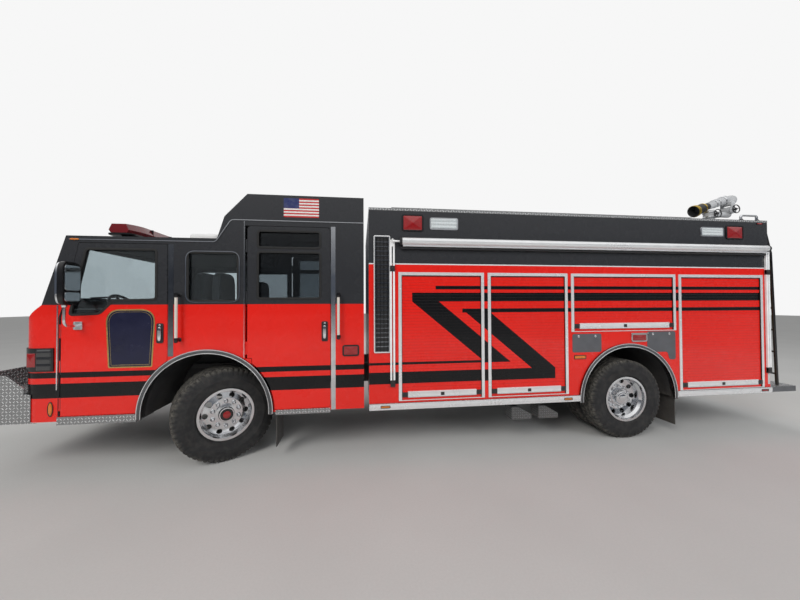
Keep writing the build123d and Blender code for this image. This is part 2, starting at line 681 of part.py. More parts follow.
def on_screen(up, inward):
    """Side-view point measured up the windscreen's slope and in from its face."""
    run = (SCREEN_HEAD - SCREEN_FOOT) / screen_length
    rise = (LOW_ROOF_Z - BELT_Z) / screen_length
    return along(SCREEN_FOOT) + up * run + inward * rise, BELT_Z + up * rise - inward * run


def screen_slab(low, high, face, back, half):
    """Slab parallel to the windscreen."""
    corners = [on_screen(low, face), on_screen(high, face), on_screen(high, back), on_screen(low, back)]
    return across(outline(corners), -half, half)


arch_x = FRONT_AXLE_X
front_door_face = outline([
    (along(FRONT_DOOR_EDGE), FRONT_DOOR_BOTTOM), (along(FRONT_DOOR_EDGE), BELT_Z - FRONT_DOOR_LEAN_START),
    (along(FRONT_DOOR_EDGE + FRONT_DOOR_LEAN), FRONT_DOOR_TOP), (along(FRONT_DOOR_REAR), FRONT_DOOR_TOP),
    (along(FRONT_DOOR_REAR), FRONT_DOOR_BOTTOM)])
rear_door_face = rectangle(along(REAR_DOOR_EDGE), along(REAR_DOOR_REAR), REAR_DOOR_BOTTOM, REAR_DOOR_TOP, 40)
front_window = outline([(along(distance), z) for distance, z in FRONT_WINDOW], WINDOW_CORNER)
middle_window = rectangle(along(MIDDLE_WINDOW_START), along(MIDDLE_WINDOW_END),
                          BELT_Z + WINDOW_ABOVE_BELT, MIDDLE_WINDOW_TOP, WINDOW_CORNER)
rear_window_x0 = along(REAR_DOOR_EDGE + REAR_WINDOW_POST)
rear_window_x1 = along(REAR_DOOR_REAR - REAR_WINDOW_POST)
rear_windows = [rectangle(rear_window_x0, rear_window_x1, z0, z1, WINDOW_CORNER) for z0, z1 in REAR_WINDOWS]
band_disc = Pos(arch_x, ARCH_Z) * Circle(ARCH_R + ARCH_BAND)


def hinge_strip(door_edge, bottom, top, lean):
    """Side-view strip ahead of a door for its hinges; its top narrows over the length of the door's lean."""
    jamb, inside = along(door_edge) - DOOR_HINGE_ROOM, along(door_edge) + 60
    return outline([(jamb, bottom - DOOR_GAP), (jamb, top - lean), (jamb + lean * HINGE_STRIP_TAPER, top),
                    (inside, top), (inside, bottom - DOOR_GAP)])


def door_heel(room):
    """Side-view corner that the rear door leaves free, so that it swings clear of the arch's trim."""
    return rectangle(along(REAR_DOOR_EDGE) - 2 * DOOR_HINGE_ROOM, along(REAR_DOOR_EDGE) + DOOR_HEEL + room,
                     REAR_DOOR_BOTTOM - DOOR_GAP, DOOR_HEEL_TOP + room)


front_opening = offset(front_door_face, DOOR_GAP, kind=Kind.INTERSECTION)
front_opening += hinge_strip(FRONT_DOOR_EDGE, FRONT_DOOR_BOTTOM, BELT_Z, FRONT_DOOR_LEAN_START)
front_opening -= band_disc
rear_opening = offset(rear_door_face, DOOR_GAP, kind=Kind.INTERSECTION)
rear_opening += hinge_strip(REAR_DOOR_EDGE, REAR_DOOR_BOTTOM, REAR_DOOR_TOP + DOOR_GAP, 0)
rear_opening -= band_disc
rear_opening -= door_heel(-DOOR_GAP)

# Cab shell
cab = cab_form(0)
cab -= cab_form(CAB_WALL)
inner_plan = offset(cab_plan(), -CAB_WALL)
cab -= upward(inner_plan, 0, CAB_FLOOR_TOP)
cab -= arch_disc(arch_x, ARCH_Z, ARCH_R)
rail_room = RAIL_HALF + 20
cab -= block(along(CAB_FRONT) - 10, along(CAB_FRONT) + CAB_WALL + 10, -rail_room, rail_room,
             0, RAIL_NOSE_TOP + 8)
cab -= block(along(CAB_REAR) - CAB_WALL - 10, along(CAB_REAR) + 10, -rail_room, rail_room, 0, RAIL_TOP + 20)
for face in (front_opening, rear_opening, middle_window):
    cab -= across(face, -CAB_HALF - 50, CAB_HALF + 50)
cab -= screen_slab(SCREEN_LOW, screen_length - SCREEN_HIGH, -200, 200, SCREEN_HALF)
for x0, x1, z in ((FRONT_STEP_START, FRONT_STEP_END, FRONT_STEP_TOP),
                  (REAR_STEP_START, REAR_DOOR_REAR, REAR_STEP_TOP)):
    for y in (-CAB_HALF + CAB_WALL / 2, CAB_HALF - CAB_WALL / 2):
        cab -= block(along(x0) - SEAT_GAP, along(x1) + SEAT_GAP, y - CAB_WALL, y + CAB_WALL, 0, z + 2)

# Fixed glass
glass_y = CAB_HALF - CAB_WALL / 2
screen = screen_slab(SCREEN_LOW + SEAT_GAP, screen_length - SCREEN_HIGH - SEAT_GAP, SCREEN_SET_BACK,
                     SCREEN_SET_BACK + GLASS, SCREEN_HALF - SEAT_GAP)
middle_glass = across(offset(middle_window, -SEAT_GAP), -glass_y - GLASS / 2, -glass_y + GLASS / 2)
node("cab_glass", screen, *pair(middle_glass))


# Doors, their glass and their hinges
def door_panel(face, windows):
    """Left door, clear of the wheel arch, with its windows cut."""
    face = face - (Pos(arch_x, ARCH_Z) * Circle(ARCH_R + ARCH_BAND + DOOR_ARCH_GAP)) - door_heel(0)
    for window in windows:
        face -= window
    return across(face, -CAB_HALF, -CAB_HALF + DOOR_THICK)


HINGE_Y = -CAB_HALF + HINGE_R + 1


def hinge_x(door_edge):
    """X of a door's hinge axis."""
    return along(door_edge) - HINGE_R - 2


def hinge_barrels(door_edge, heights):
    """Barrels on the door, bored for their pins."""
    x = hinge_x(door_edge)
    parts = []
    for z in heights:
        barrel = Pos(x, HINGE_Y, z) * Cylinder(HINGE_R, HINGE_BARREL)
        barrel += block(x, along(door_edge) + 2, HINGE_Y - 5, HINGE_Y + 5,
                        z - HINGE_BARREL / 2, z + HINGE_BARREL / 2)
        parts.append(barrel - Pos(x, HINGE_Y, z) * Cylinder(HINGE_PIN_R + SEAT_GAP, HINGE_BARREL + 2))
    return parts


def hinge_brackets(door_edge, heights):
    """Ears and pins on the cab that carry a door's barrels."""
    x = hinge_x(door_edge)
    jamb = along(door_edge) - DOOR_HINGE_ROOM
    parts = []
    for z in heights:
        bracket = Pos(x, HINGE_Y, z) * Cylinder(HINGE_PIN_R, HINGE_BARREL + 2)
        for low in (z - HINGE_BARREL / 2 - SEAT_GAP - HINGE_EAR, z + HINGE_BARREL / 2 + SEAT_GAP):
            bracket += Pos(x, HINGE_Y, low + HINGE_EAR / 2) * Cylinder(HINGE_R, HINGE_EAR)
            bracket += block(jamb, x, HINGE_Y - 5, HINGE_Y + 5, low, low + HINGE_EAR)
        parts.append(bracket)
    return parts


# Doors: name, outline, windows, front edge, hinge heights
DOORS = [("front", front_door_face, [front_window], FRONT_DOOR_EDGE, (760, 1150, 1540)),
         ("rear", rear_door_face, rear_windows, REAR_DOOR_EDGE, (1320, 1900, 2500))]
for name, face, windows, edge, heights in DOORS:
    panel = door_panel(face, windows)
    for barrel in hinge_barrels(edge, heights):
        panel += barrel
    panes = [across(offset(window, -SEAT_GAP), -glass_y - GLASS / 2, -glass_y + GLASS / 2)
             for window in windows]
    node(f"{name}_door_left", panel)
    node(f"{name}_door_right", mirror(panel, about=Plane.XZ))
    node(f"{name}_door_glass_left", *panes)
    node(f"{name}_door_glass_right", *[mirror(pane, about=Plane.XZ) for pane in panes])
    for bracket in hinge_brackets(edge, heights):
        for shape in pair(bracket):
            cab += shape
node("cab_shell", cab)

# Cab floor plate, with the engine tunnel and the risers over the wheels standing on it
floor_half = CAB_HALF - CAB_WALL - SEAT_GAP
floor_plan = offset(cab_plan(), -CAB_WALL - SEAT_GAP)
floor_bottom = RAIL_TOP + SEAT_GAP
floor = upward(floor_plan, floor_bottom, CAB_FLOOR_TOP)
riser = block(arch_x - RISER_HALF, arch_x + RISER_HALF, -floor_half, -LINER_INNER_Y,
              CAB_FLOOR_TOP + SEAT_GAP, RISER_TOP)
tunnel_x0 = along(ENGINE_FRONT) - TUNNEL_ROOM
tunnel_x1 = along(ENGINE_FRONT + ENGINE_LENGTH) + TUNNEL_ROOM
tunnel_inner = TUNNEL_HALF - TUNNEL_WALL
tunnel = block(tunnel_x0 - TUNNEL_WALL, tunnel_x1 + TUNNEL_WALL, -TUNNEL_HALF, TUNNEL_HALF,
               CAB_FLOOR_TOP + SEAT_GAP, TUNNEL_TOP)
tunnel_hollow = block(tunnel_x0, tunnel_x1, -tunnel_inner, tunnel_inner, 0, TUNNEL_TOP - TUNNEL_WALL)
floor -= tunnel_hollow
for cylinder in arch_disc(arch_x, ARCH_Z, ARCH_R + LINER_WALL + SEAT_GAP, inner=LINER_INNER_Y - SEAT_GAP):
    floor -= cylinder
    riser -= cylinder
node("cab_floor", floor, tunnel - tunnel_hollow, *pair(riser))
for name, start, y, facing, base in SEATS:
    lean = start + facing * (SEAT_LENGTH - PEDESTAL_LENGTH) / 2
    x0, x1 = sorted((along(lean), along(lean + facing * PEDESTAL_LENGTH)))
    pedestal = block(x0, x1, -y - PEDESTAL_HALF, -y + PEDESTAL_HALF, base + SEAT_GAP, SEAT_PAN_Z)
    node("cab_floor", *pair(pedestal))

# Seats: padded base and back, in pairs
seats = []
for name, start, y, facing, base in SEATS:
    x0, x1 = sorted((along(start), along(start + facing * SEAT_LENGTH)))
    back_start = start + facing * (SEAT_LENGTH + SEAT_GAP)
    b0, b1 = sorted((along(back_start), along(back_start + facing * SEAT_BACK)))
    pad = rectangle(x0, x1, SEAT_PAN_Z + SEAT_GAP, SEAT_PAN_Z + SEAT_PAD, 35)
    back = rectangle(b0, b1, SEAT_PAN_Z + SEAT_GAP, SEAT_PAN_Z + SEAT_BACK_HEIGHT, 40)
    seats += pair(across(pad, -y - SEAT_WIDTH / 2, -y + SEAT_WIDTH / 2))
    seats += pair(across(back, -y - SEAT_WIDTH / 2, -y + SEAT_WIDTH / 2))
node("crew_seats", *seats)


def arch_liner(x, z, inner, outer):
    """Half ring over a wheel."""
    ring = Pos(x, z) * (Circle(ARCH_R + LINER_WALL) - Circle(ARCH_R))
    ring -= rectangle(x - 2 * ARCH_R, x + 2 * ARCH_R, z - 2 * ARCH_R, z - 20)
    return across(ring, -outer, -inner)


def arch_trim(x, z, half):
    """Polished ring round an arch's outer edge."""
    ring = Pos(x, z) * (Circle(ARCH_R + ARCH_BAND) - Circle(ARCH_R))
    ring -= rectangle(x - 2 * ARCH_R, x + 2 * ARCH_R, z - 2 * ARCH_R, z - 38)
    return across(ring, -half - 24, -half - SEAT_GAP)


node("wheel_arches", *pair(arch_liner(arch_x, ARCH_Z, LINER_INNER_Y, floor_half)))
node("arch_trims", *pair(arch_trim(arch_x, ARCH_Z, CAB_HALF)))
node("arch_trims", *pair(arch_trim(REAR_AXLE_X, REAR_ARCH_Z, BODY_HALF)))

# Bumper: wrapped round the nose, with the hose tray on top
bumper_x0 = along(-FRONT_REACH)
bumper_x1 = along(-BUMPER_REAR)


def bumper_plan(inset):
    """Bumper outline from above, its front corners cut off."""
    front, half = bumper_x0 + inset, BODY_HALF - inset
    cut = BUMPER_CHAMFER - 0.4 * inset
    return outline([(front, -half + cut), (front + cut, -half), (bumper_x1, -half), (bumper_x1, half),
                    (front + cut, half), (front, half - cut)])


bumper = upward(bumper_plan(0), BUMPER_BOTTOM, BUMPER_TOP)
bumper -= upward(bumper_plan(BUMPER_WALL), 0, BUMPER_TOP - BUMPER_WALL)
tray_x1 = along(CAB_FRONT) + CAB_WALL
tray_side = outline([(bumper_x0, BUMPER_TOP - 5), (bumper_x0, TRAY_TOP), (along(-TRAY_SLOPE_START), TRAY_TOP),
                     (tray_x1, TRAY_REAR_TOP), (tray_x1, BUMPER_TOP - 5)])
tray = across(tray_side, -BODY_HALF, BODY_HALF) & upward(bumper_plan(0), 0, 2 * TRAY_TOP)
tray -= upward(bumper_plan(BUMPER_WALL), 0, 2 * TRAY_TOP)
bumper += tray
bumper -= cab_form(-NOSE_GAP)
bumper -= block(along(CAB_FRONT) - NOSE_GAP, bumper_x1 + 10, -CAB_HALF + CAB_WALL, CAB_HALF - CAB_WALL,
                0, 2 * TRAY_TOP)
node("front_bumper", bumper)

# Body: side panels, ends, floors, roof deck
body_x0, body_x1 = along(BODY_START), along(BODY_END)
bays = []
bay_x = along(COMPARTMENT_START)
for name, width, sill in COMPARTMENTS:
    bays.append((name, bay_x, bay_x + width, sill))
    bay_x += width + COMPARTMENT_POST

rear_arch_disc = Pos(REAR_AXLE_X, REAR_ARCH_Z) * Circle(ARCH_R)
side_face = rectangle(body_x0, body_x1, BODY_BOTTOM, BODY_TOP)
for name, x0, x1, sill in bays:
    side_face -= rectangle(x0, x1, sill + 0.1, SHUTTER_TOP)
side_face -= rear_arch_disc
node("body_sides", *pair(across(side_face, -BODY_HALF, -BODY_HALF + BODY_WALL)))

inner_half = BODY_HALF - BODY_WALL - SEAT_GAP
core_half = BODY_HALF - COMPARTMENT_DEPTH
front_wall = rectangle(-inner_half, inner_half, BODY_BOTTOM, BODY_TOP)
front_wall -= rectangle(-core_half, core_half, 0, RAIL_TOP + SEAT_GAP)
node("body_walls", lengthwise(front_wall, body_x0, body_x0 + BODY_WALL))
rear_wall = front_wall - rectangle(-REAR_SHUTTER_HALF, REAR_SHUTTER_HALF, REAR_SHUTTER_SILL,
                                   REAR_SHUTTER_TOP)
node("body_walls", lengthwise(rear_wall, body_x1 - BODY_WALL, body_x1))

# Bulkheads between the compartments
bulkheads = []
deck_z = BODY_TOP - BODY_WALL
for index, (name, x0, x1, sill) in enumerate(bays):
    low = min(sill, bays[index - 1][3]) if index else sill
    bulkheads.append(block(x0 - COMPARTMENT_POST + POST_LIP, x0 - POST_LIP, -inner_half, -core_half,
                           low, deck_z - SEAT_GAP))
node("body_walls", *[shape for wall in bulkheads for shape in pair(wall)])

# Compartment floors, clear of the wheel wells
floors = []
for name, x0, x1, sill in bays:
    floors.append(block(x0 - POST_LIP + SEAT_GAP, x1 + POST_LIP - SEAT_GAP, -inner_half, -core_half,
                        sill - FLOOR_PLATE, sill))
node("body_walls", *[shape for plate in floors for shape in pair(plate)])

# Core: the water tank and pump as plain blocks on the frame
tank_half = core_half - 20
tank_x0, tank_x1 = along(TANK_START), along(TANK_START + TANK_LENGTH)
tank = block(tank_x0, tank_x1, -RAIL_HALF, RAIL_HALF, RAIL_TOP + SEAT_GAP, TANK_SHOULDER + 10)
tank += block(tank_x0, tank_x1, -tank_half, tank_half, TANK_SHOULDER, BED_BOTTOM - BED_WALL - SEAT_GAP)
pump = block(along(PUMP_START), along(PUMP_START + PUMP_LENGTH), -RAIL_HALF, RAIL_HALF,
             RAIL_TOP + SEAT_GAP, PUMP_TOP)
node("tanks_and_pump", tank, pump)

# Hose bed: an open tray between the side decks
bed_x0, bed_x1 = body_x0 + BODY_WALL + SEAT_GAP, body_x1 - BODY_WALL - SEAT_GAP
bed = block(bed_x0, bed_x1, -BED_HALF, BED_HALF, BED_BOTTOM - BED_WALL, BODY_TOP)
bed += block(bed_x0, bed_x1, -inner_half, inner_half, deck_z, BODY_TOP)
bed_inner = BED_HALF - BED_WALL
bed -= block(bed_x0 + BED_WALL, bed_x1 - BED_WALL, -bed_inner, bed_inner, BED_BOTTOM, BODY_TOP + 10)

# Hose bed covers on hinges along their outer edges
cover_x0 = along(COVER_START)
cover_x1 = cover_x0 + COVER_LENGTH
cover_hinge_y = BODY_HALF - 62
cover_z0 = BODY_TOP + 14
cover_face = outline([(3, cover_z0), (cover_hinge_y - 18, cover_z0), (cover_hinge_y - 18, cover_z0 + 22),
                      (3, cover_z0 + COVER_THICK)])
cover = lengthwise(cover_face, cover_x0, cover_x1)
hinge_z = cover_z0 + 4
hinge_spots = [cover_x0 + COVER_LENGTH * share for share in (0.1, 0.5, 0.9)]
brackets = []


def hinge_rod(x0, x1, radius):
    """Round bar along a cover's hinge axis."""
    return rod((x0, cover_hinge_y, hinge_z), (x1, cover_hinge_y, hinge_z), radius)


for x in hinge_spots:
    cover += hinge_rod(x - COVER_HINGE_HALF, x + COVER_HINGE_HALF, COVER_HINGE_R)
    cover += block(x - COVER_HINGE_HALF, x + COVER_HINGE_HALF, cover_hinge_y - 20, cover_hinge_y,
                   hinge_z - 4, hinge_z + 4)
for x in hinge_spots:
    cover -= hinge_rod(x - COVER_HINGE_HALF - 10, x + COVER_HINGE_HALF + 10, HINGE_PIN_R + SEAT_GAP)
    bracket = hinge_rod(x - COVER_HINGE_HALF - 2, x + COVER_HINGE_HALF + 2, HINGE_PIN_R)
    for end in (x - COVER_HINGE_HALF - SEAT_GAP - HINGE_EAR, x + COVER_HINGE_HALF + SEAT_GAP):
        bracket += hinge_rod(end, end + HINGE_EAR, COVER_HINGE_R)
        bracket += block(end, end + HINGE_EAR, cover_hinge_y - 8, cover_hinge_y + 8, BODY_TOP, hinge_z)
    brackets.append(bracket)
node("bed_cover_right", cover)
node("bed_cover_left", mirror(cover, about=Plane.XZ))
for bracket in brackets:
    for shape in pair(bracket):
        bed += shape
node("roof_deck", bed)

# Shutters, their frames and lift bars
frames, shutters = [], []
for name, x0, x1, sill in bays:
    hole_x0, hole_x1 = x0 + SHUTTER_FRAME, x1 - SHUTTER_FRAME
    hole_z0, hole_z1 = sill + SHUTTER_LIP, SHUTTER_TOP - SHUTTER_FRAME
    rim = rectangle(x0 + SEAT_GAP, x1 - SEAT_GAP, sill + SEAT_GAP, SHUTTER_TOP - SEAT_GAP)
    rim -= rectangle(hole_x0, hole_x1, hole_z0, hole_z1)
    frames.append(across(rim, -BODY_HALF - SHUTTER_LIP, -BODY_HALF + BODY_WALL))
    curtain = rectangle(hole_x0 + SEAT_GAP, hole_x1 - SEAT_GAP, hole_z0 + SEAT_GAP, hole_z1 - SEAT_GAP)
    curtain_y = -BODY_HALF + SHUTTER_SET_BACK
    panel = across(curtain, curtain_y, curtain_y + SHUTTER_THICK)
    bar = rectangle(hole_x0 + 12, hole_x1 - 12, sill + LIFT_BAR_LOW, sill + LIFT_BAR_HIGH)
    panel += across(bar, -BODY_HALF - LIFT_BAR_PROUD, curtain_y + 2)
    shutters.append(panel)
curtain_half = REAR_SHUTTER_HALF - SEAT_GAP
rear_curtain = block(body_x1 - BODY_WALL + SHUTTER_LIP, body_x1 - SHUTTER_LIP, -curtain_half, curtain_half,
                     REAR_SHUTTER_SILL + SEAT_GAP, REAR_SHUTTER_TOP - SEAT_GAP)
node("shutters", rear_curtain, *[shape for panel in shutters for shape in pair(panel)])
node("shutter_frames", *[shape for rim in frames for shape in pair(rim)])

# Rear wheel liners, rub rails
node("wheel_arches", *pair(arch_liner(REAR_AXLE_X, REAR_ARCH_Z, LINER_INNER_Y, inner_half)))
rail_cut = ARCH_R + ARCH_BAND + 10
rails = []
for x0, x1 in ((body_x0, REAR_AXLE_X - rail_cut), (REAR_AXLE_X + rail_cut, body_x1)):
    rails.append(block(x0, x1, -BODY_HALF - RUB_RAIL_PROUD, -BODY_HALF + BODY_WALL,
                       RUB_RAIL_BOTTOM, BODY_BOTTOM - SEAT_GAP))

# Tailboard and cab steps: treadplate boxes open below, with the rub rails
tail_x1 = body_x1 + TAILBOARD_DEPTH


def step_box(x0, x1, y0, y1, z0, z1):
    """Step folded from plate, open below."""
    hollow = block(x0 + STEP_WALL, x1 - STEP_WALL, y0 + STEP_WALL, y1 - STEP_WALL, 0, z1 - STEP_WALL)
    return block(x0, x1, y0, y1, z0, z1) - hollow


tailboard = step_box(body_x1 + SEAT_GAP, tail_x1, -BODY_HALF, BODY_HALF, RUB_RAIL_BOTTOM, BODY_BOTTOM)
front_step = step_box(along(FRONT_STEP_START), along(FRONT_STEP_END), -CAB_HALF, -CAB_HALF + STEP_DEPTH,
                      FRONT_STEP_BOTTOM, FRONT_STEP_TOP)
for cylinder in arch_disc(arch_x, ARCH_Z, ARCH_R + LINER_WALL + 2):
    front_step -= cylinder
rear_step = step_box(along(REAR_STEP_START), along(REAR_DOOR_REAR), -CAB_HALF, -CAB_HALF + STEP_DEPTH,
                     REAR_STEP_BOTTOM, REAR_STEP_TOP)
node("steps_and_rails", tailboard)
for piece in rails + [front_step, rear_step]:
    node("steps_and_rails", *pair(piece))

# Mirrors: a head on a tubular arm, carried by each front door
mirror_x0 = along(MIRROR_START)
mirror_x1 = mirror_x0 + MIRROR_LENGTH
mirror_z0 = MIRROR_TOP - MIRROR_HEIGHT
mirror_head = across(rectangle(mirror_x0, mirror_x1, mirror_z0, MIRROR_TOP, 30),
                     -MIRROR_OUTER_Y, MIRROR_WIDTH - MIRROR_OUTER_Y)
arm_xm = (mirror_x0 + mirror_x1) / 2
arm_ym = MIRROR_WIDTH / 3 - MIRROR_OUTER_Y
foot_y = -CAB_HALF - SEAT_GAP
mirror_arm = tube([(arm_xm, arm_ym, mirror_z0 + 5), (arm_xm, arm_ym, MIRROR_BASE_Z),
                   (arm_xm, foot_y - 8, MIRROR_BASE_Z)], MIRROR_ARM_R)
mirror_foot = block(arm_xm - MIRROR_FOOT_HALF, arm_xm + MIRROR_FOOT_HALF, foot_y - 16, foot_y,
                    MIRROR_BASE_Z - MIRROR_FOOT_HALF, MIRROR_BASE_Z + MIRROR_FOOT_HALF)
left_mirror = mirror_head + mirror_arm + mirror_foot
node("mirror_left", left_mirror)
node("mirror_right", mirror(left_mirror, about=Plane.XZ))

# Grille: frame and bars on the nose
grille_x1 = along(CAB_FRONT) - SEAT_GAP
grille_x0 = grille_x1 - GRILLE_PROUD
grille_face = rectangle(-GRILLE_HALF, GRILLE_HALF, GRILLE_BOTTOM, GRILLE_TOP)
grille_inner = GRILLE_HALF - GRILLE_RIM
grille_face -= rectangle(-grille_inner, grille_inner, GRILLE_BOTTOM + GRILLE_RIM, GRILLE_TOP - GRILLE_RIM)
grille = lengthwise(grille_face, grille_x0, grille_x1)
pitch = (GRILLE_TOP - GRILLE_BOTTOM - 2 * GRILLE_RIM) / (GRILLE_BARS + 1)
for i in range(GRILLE_BARS):
    z = GRILLE_BOTTOM + GRILLE_RIM + pitch * (i + 1)
    grille += block(grille_x0 + 8, grille_x1, -grille_inner - 10, grille_inner + 10,
                    z - GRILLE_BAR / 2, z + GRILLE_BAR / 2)
node("grille", grille)

# Headlamps: a bezel wrapped round each corner and its lamps
bezel = cab_form(-BEZEL_PROUD) - cab_form(-SEAT_GAP)
bezel &= block(along(CAB_FRONT) - 50, along(BEZEL_REAR), -CAB_HALF - 50, -BEZEL_INNER_Y,
               BEZEL_BOTTOM, BEZEL_TOP)
lamp_z = (BEZEL_BOTTOM + BEZEL_TOP) / 2
for y in (BEZEL_INNER_Y + 115, BEZEL_INNER_Y + 335):
    lamp = turned([(0, 0), (LAMP_R, 0), (LAMP_R, 10), (LAMP_R - 12, 26), (0, 34)])
    bezel += Pos(along(CAB_FRONT) - BEZEL_PROUD + 2, -y, lamp_z) * Rot(0, -90, 0) * lamp
node("headlamps", *pair(bezel))

# Grab rails beside the doors: knurled bar on two stand-offs
grab_rails = []
for place, z0, z1 in GRAB_RAILS:
    x = along(place)
    y = -CAB_HALF - GRAB_STANDOFF
    rail = rod((x, y, z0), (x, y, z1), GRAB_R)
    for z in (z0 + 30, z1 - 30):
        rail += block(x - 18, x + 18, y - 6, -CAB_HALF - SEAT_GAP, z - 26, z + 26)
    grab_rails.append(rail)
top_x0, top_x1 = along(TOP_RAIL_START), along(TOP_RAIL_START + TOP_RAIL_LENGTH)
top_y = -BODY_HALF + 60
top_rail = rod((top_x0, top_y, BODY_TOP + 85), (top_x1, top_y, BODY_TOP + 85), GRAB_R)
for x in (top_x0 + 30, top_x1 - 30):
    top_rail += block(x - 22, x + 22, top_y - 18, top_y + 18, BODY_TOP + SEAT_GAP, BODY_TOP + 90)
grab_rails.append(top_rail)
node("grab_rails", *[shape for rail in grab_rails for shape in pair(rail)])

# Louvre behind the cab: frame and vanes
louvre_x0, louvre_x1 = along(LOUVRE_START), along(LOUVRE_START + LOUVRE_WIDTH)
louvre_face = rectangle(louvre_x0, louvre_x1, LOUVRE_BOTTOM, LOUVRE_TOP)
louvre_face -= rectangle(louvre_x0 + LOUVRE_RIM, louvre_x1 - LOUVRE_RIM,
                         LOUVRE_BOTTOM + LOUVRE_RIM, LOUVRE_TOP - LOUVRE_RIM)
louvre = across(louvre_face, -BODY_HALF - LOUVRE_PROUD, -BODY_HALF - SEAT_GAP)
vane_pitch = (LOUVRE_TOP - LOUVRE_BOTTOM - 2 * LOUVRE_RIM) / (LOUVRE_VANES + 1)
for i in range(LOUVRE_VANES):
    z = LOUVRE_BOTTOM + LOUVRE_RIM + vane_pitch * (i + 1)
    louvre += block(louvre_x0 + LOUVRE_RIM - 6, louvre_x1 - LOUVRE_RIM + 6, -BODY_HALF - LOUVRE_PROUD + 4,
                    -BODY_HALF - SEAT_GAP, z - LOUVRE_VANE / 2, z + LOUVRE_VANE / 2)
node("louvres", *pair(louvre))

# Awning on the driver's side: rolled tube and two arms
awning_y = -BODY_HALF - AWNING_OUT
arm_y0, arm_y1 = -BODY_HALF - AWNING_ARM_THICK, -BODY_HALF - SEAT_GAP
awning = rod((along(AWNING_START), awning_y, AWNING_Z), (along(AWNING_END), awning_y, AWNING_Z), AWNING_R)
for place, cap in ((AWNING_FRONT_ARM, AWNING_START), (AWNING_REAR_ARM, AWNING_END)):
    arm_x0, arm_x1 = along(place) - AWNING_ARM_WIDTH / 2, along(place) + AWNING_ARM_WIDTH / 2
    awning += block(arm_x0, arm_x1, arm_y0, arm_y1, AWNING_ARM_BOTTOM, AWNING_Z + AWNING_R)
    awning += block(arm_x0, arm_x1, awning_y - 20, arm_y1, AWNING_Z - 30, AWNING_Z + 30)
    pin_x0, pin_x1 = sorted((along(cap), along(place)))
    awning += rod((pin_x0 - 10, awning_y, AWNING_Z), (pin_x1 + 10, awning_y, AWNING_Z), AWNING_PIN_R)
node("awning", awning)

# Lamps flat on the sides: start behind the front axle, length, bottom, top
lamps = []
for start, length, z0, z1 in SIDE_LAMPS:
    lens = rectangle(along(start), along(start + length), z0, z1, min(22, (z1 - z0) * 0.3))
    lamps += pair(across(lens, -BODY_HALF - LAMP_PROUD, -BODY_HALF - SEAT_GAP))
for z0, z1 in TAIL_LAMPS:
    lens = rectangle(-TAIL_LAMP_Y - TAIL_LAMP_HALF, -TAIL_LAMP_Y + TAIL_LAMP_HALF, z0, z1, 20)
    lamps += pair(lengthwise(lens, body_x1 + SEAT_GAP, body_x1 + LAMP_PROUD))
node("warning_lamps", *lamps)

# Light bar and roof box
bar_x0, bar_x1 = along(BAR_START), along(BAR_START + BAR_DEPTH)
light_bar = across(rectangle(bar_x0, bar_x1, BAR_BOTTOM, BAR_TOP, 30), -BAR_HALF, BAR_HALF)
for y in (-BAR_FOOT_Y, 0, BAR_FOOT_Y):
    light_bar += block(bar_x0 + 70, bar_x1 - 70, y - 40, y + 40, LOW_ROOF_Z + SEAT_GAP, BAR_BOTTOM + 5)
box_face = rectangle(along(ROOF_BOX_START), along(ROOF_BOX_START + ROOF_BOX_LENGTH),
                     LOW_ROOF_Z + SEAT_GAP, ROOF_BOX_TOP)
box_face = fillet(box_face.vertices().sort_by(Axis.Y)[2:], 50)
node("light_bar", light_bar, across(box_face, -ROOF_BOX_HALF, ROOF_BOX_HALF))

# Monitor: riser on a flange, swivel with its elbow, and the gooseneck with the barrel and nozzle
gun_x, gun_y = along(MONITOR_PLACE), -MONITOR_Y
base = turned([(0, 0), (MONITOR_FLANGE_R, 0), (MONITOR_FLANGE_R, MONITOR_FLANGE), (MONITOR_RISER_R, MONITOR_FLANGE + 6),
               (MONITOR_RISER_R, MONITOR_RISE), (0, MONITOR_RISE)])
base_z = BODY_TOP + SEAT_GAP
node("monitor_base", Pos(gun_x, gun_y, base_z) * base)
ring_z = base_z + MONITOR_RISE + SEAT_GAP
elbow_z = ring_z + MONITOR_ELBOW_UP
pivot_x, pivot_z = gun_x + MONITOR_PIVOT_OUT, elbow_z + MONITOR_PIVOT_UP
ring_profile = [(0, 0), (MONITOR_RING_R, 0), (MONITOR_RING_R, MONITOR_RING - 24), (MONITOR_RING_R - 18, MONITOR_RING),
                (0, MONITOR_RING)]
swivel = Pos(gun_x, gun_y, ring_z) * turned(ring_profile)
elbow_path = [(gun_x, gun_y, elbow_z), (pivot_x, gun_y, elbow_z), (pivot_x, gun_y, pivot_z)]
swivel += tube(elbow_path, MONITOR_PIPE_R)
swivel += rod((pivot_x, gun_y - MONITOR_TRUNNION, pivot_z), (pivot_x, gun_y + MONITOR_TRUNNION, pivot_z),
              MONITOR_PIVOT_R)
node("monitor_swivel", swivel)
neck_x, neck_z = pivot_x + MONITOR_NECK_OUT, pivot_z + MONITOR_NECK_UP
slope = radians(MONITOR_SLOPE)


def down_barrel(distance):
    """Place this far down the barrel from the gooseneck's top."""
    return neck_x - distance * cos(slope), gun_y, neck_z - distance * sin(slope)


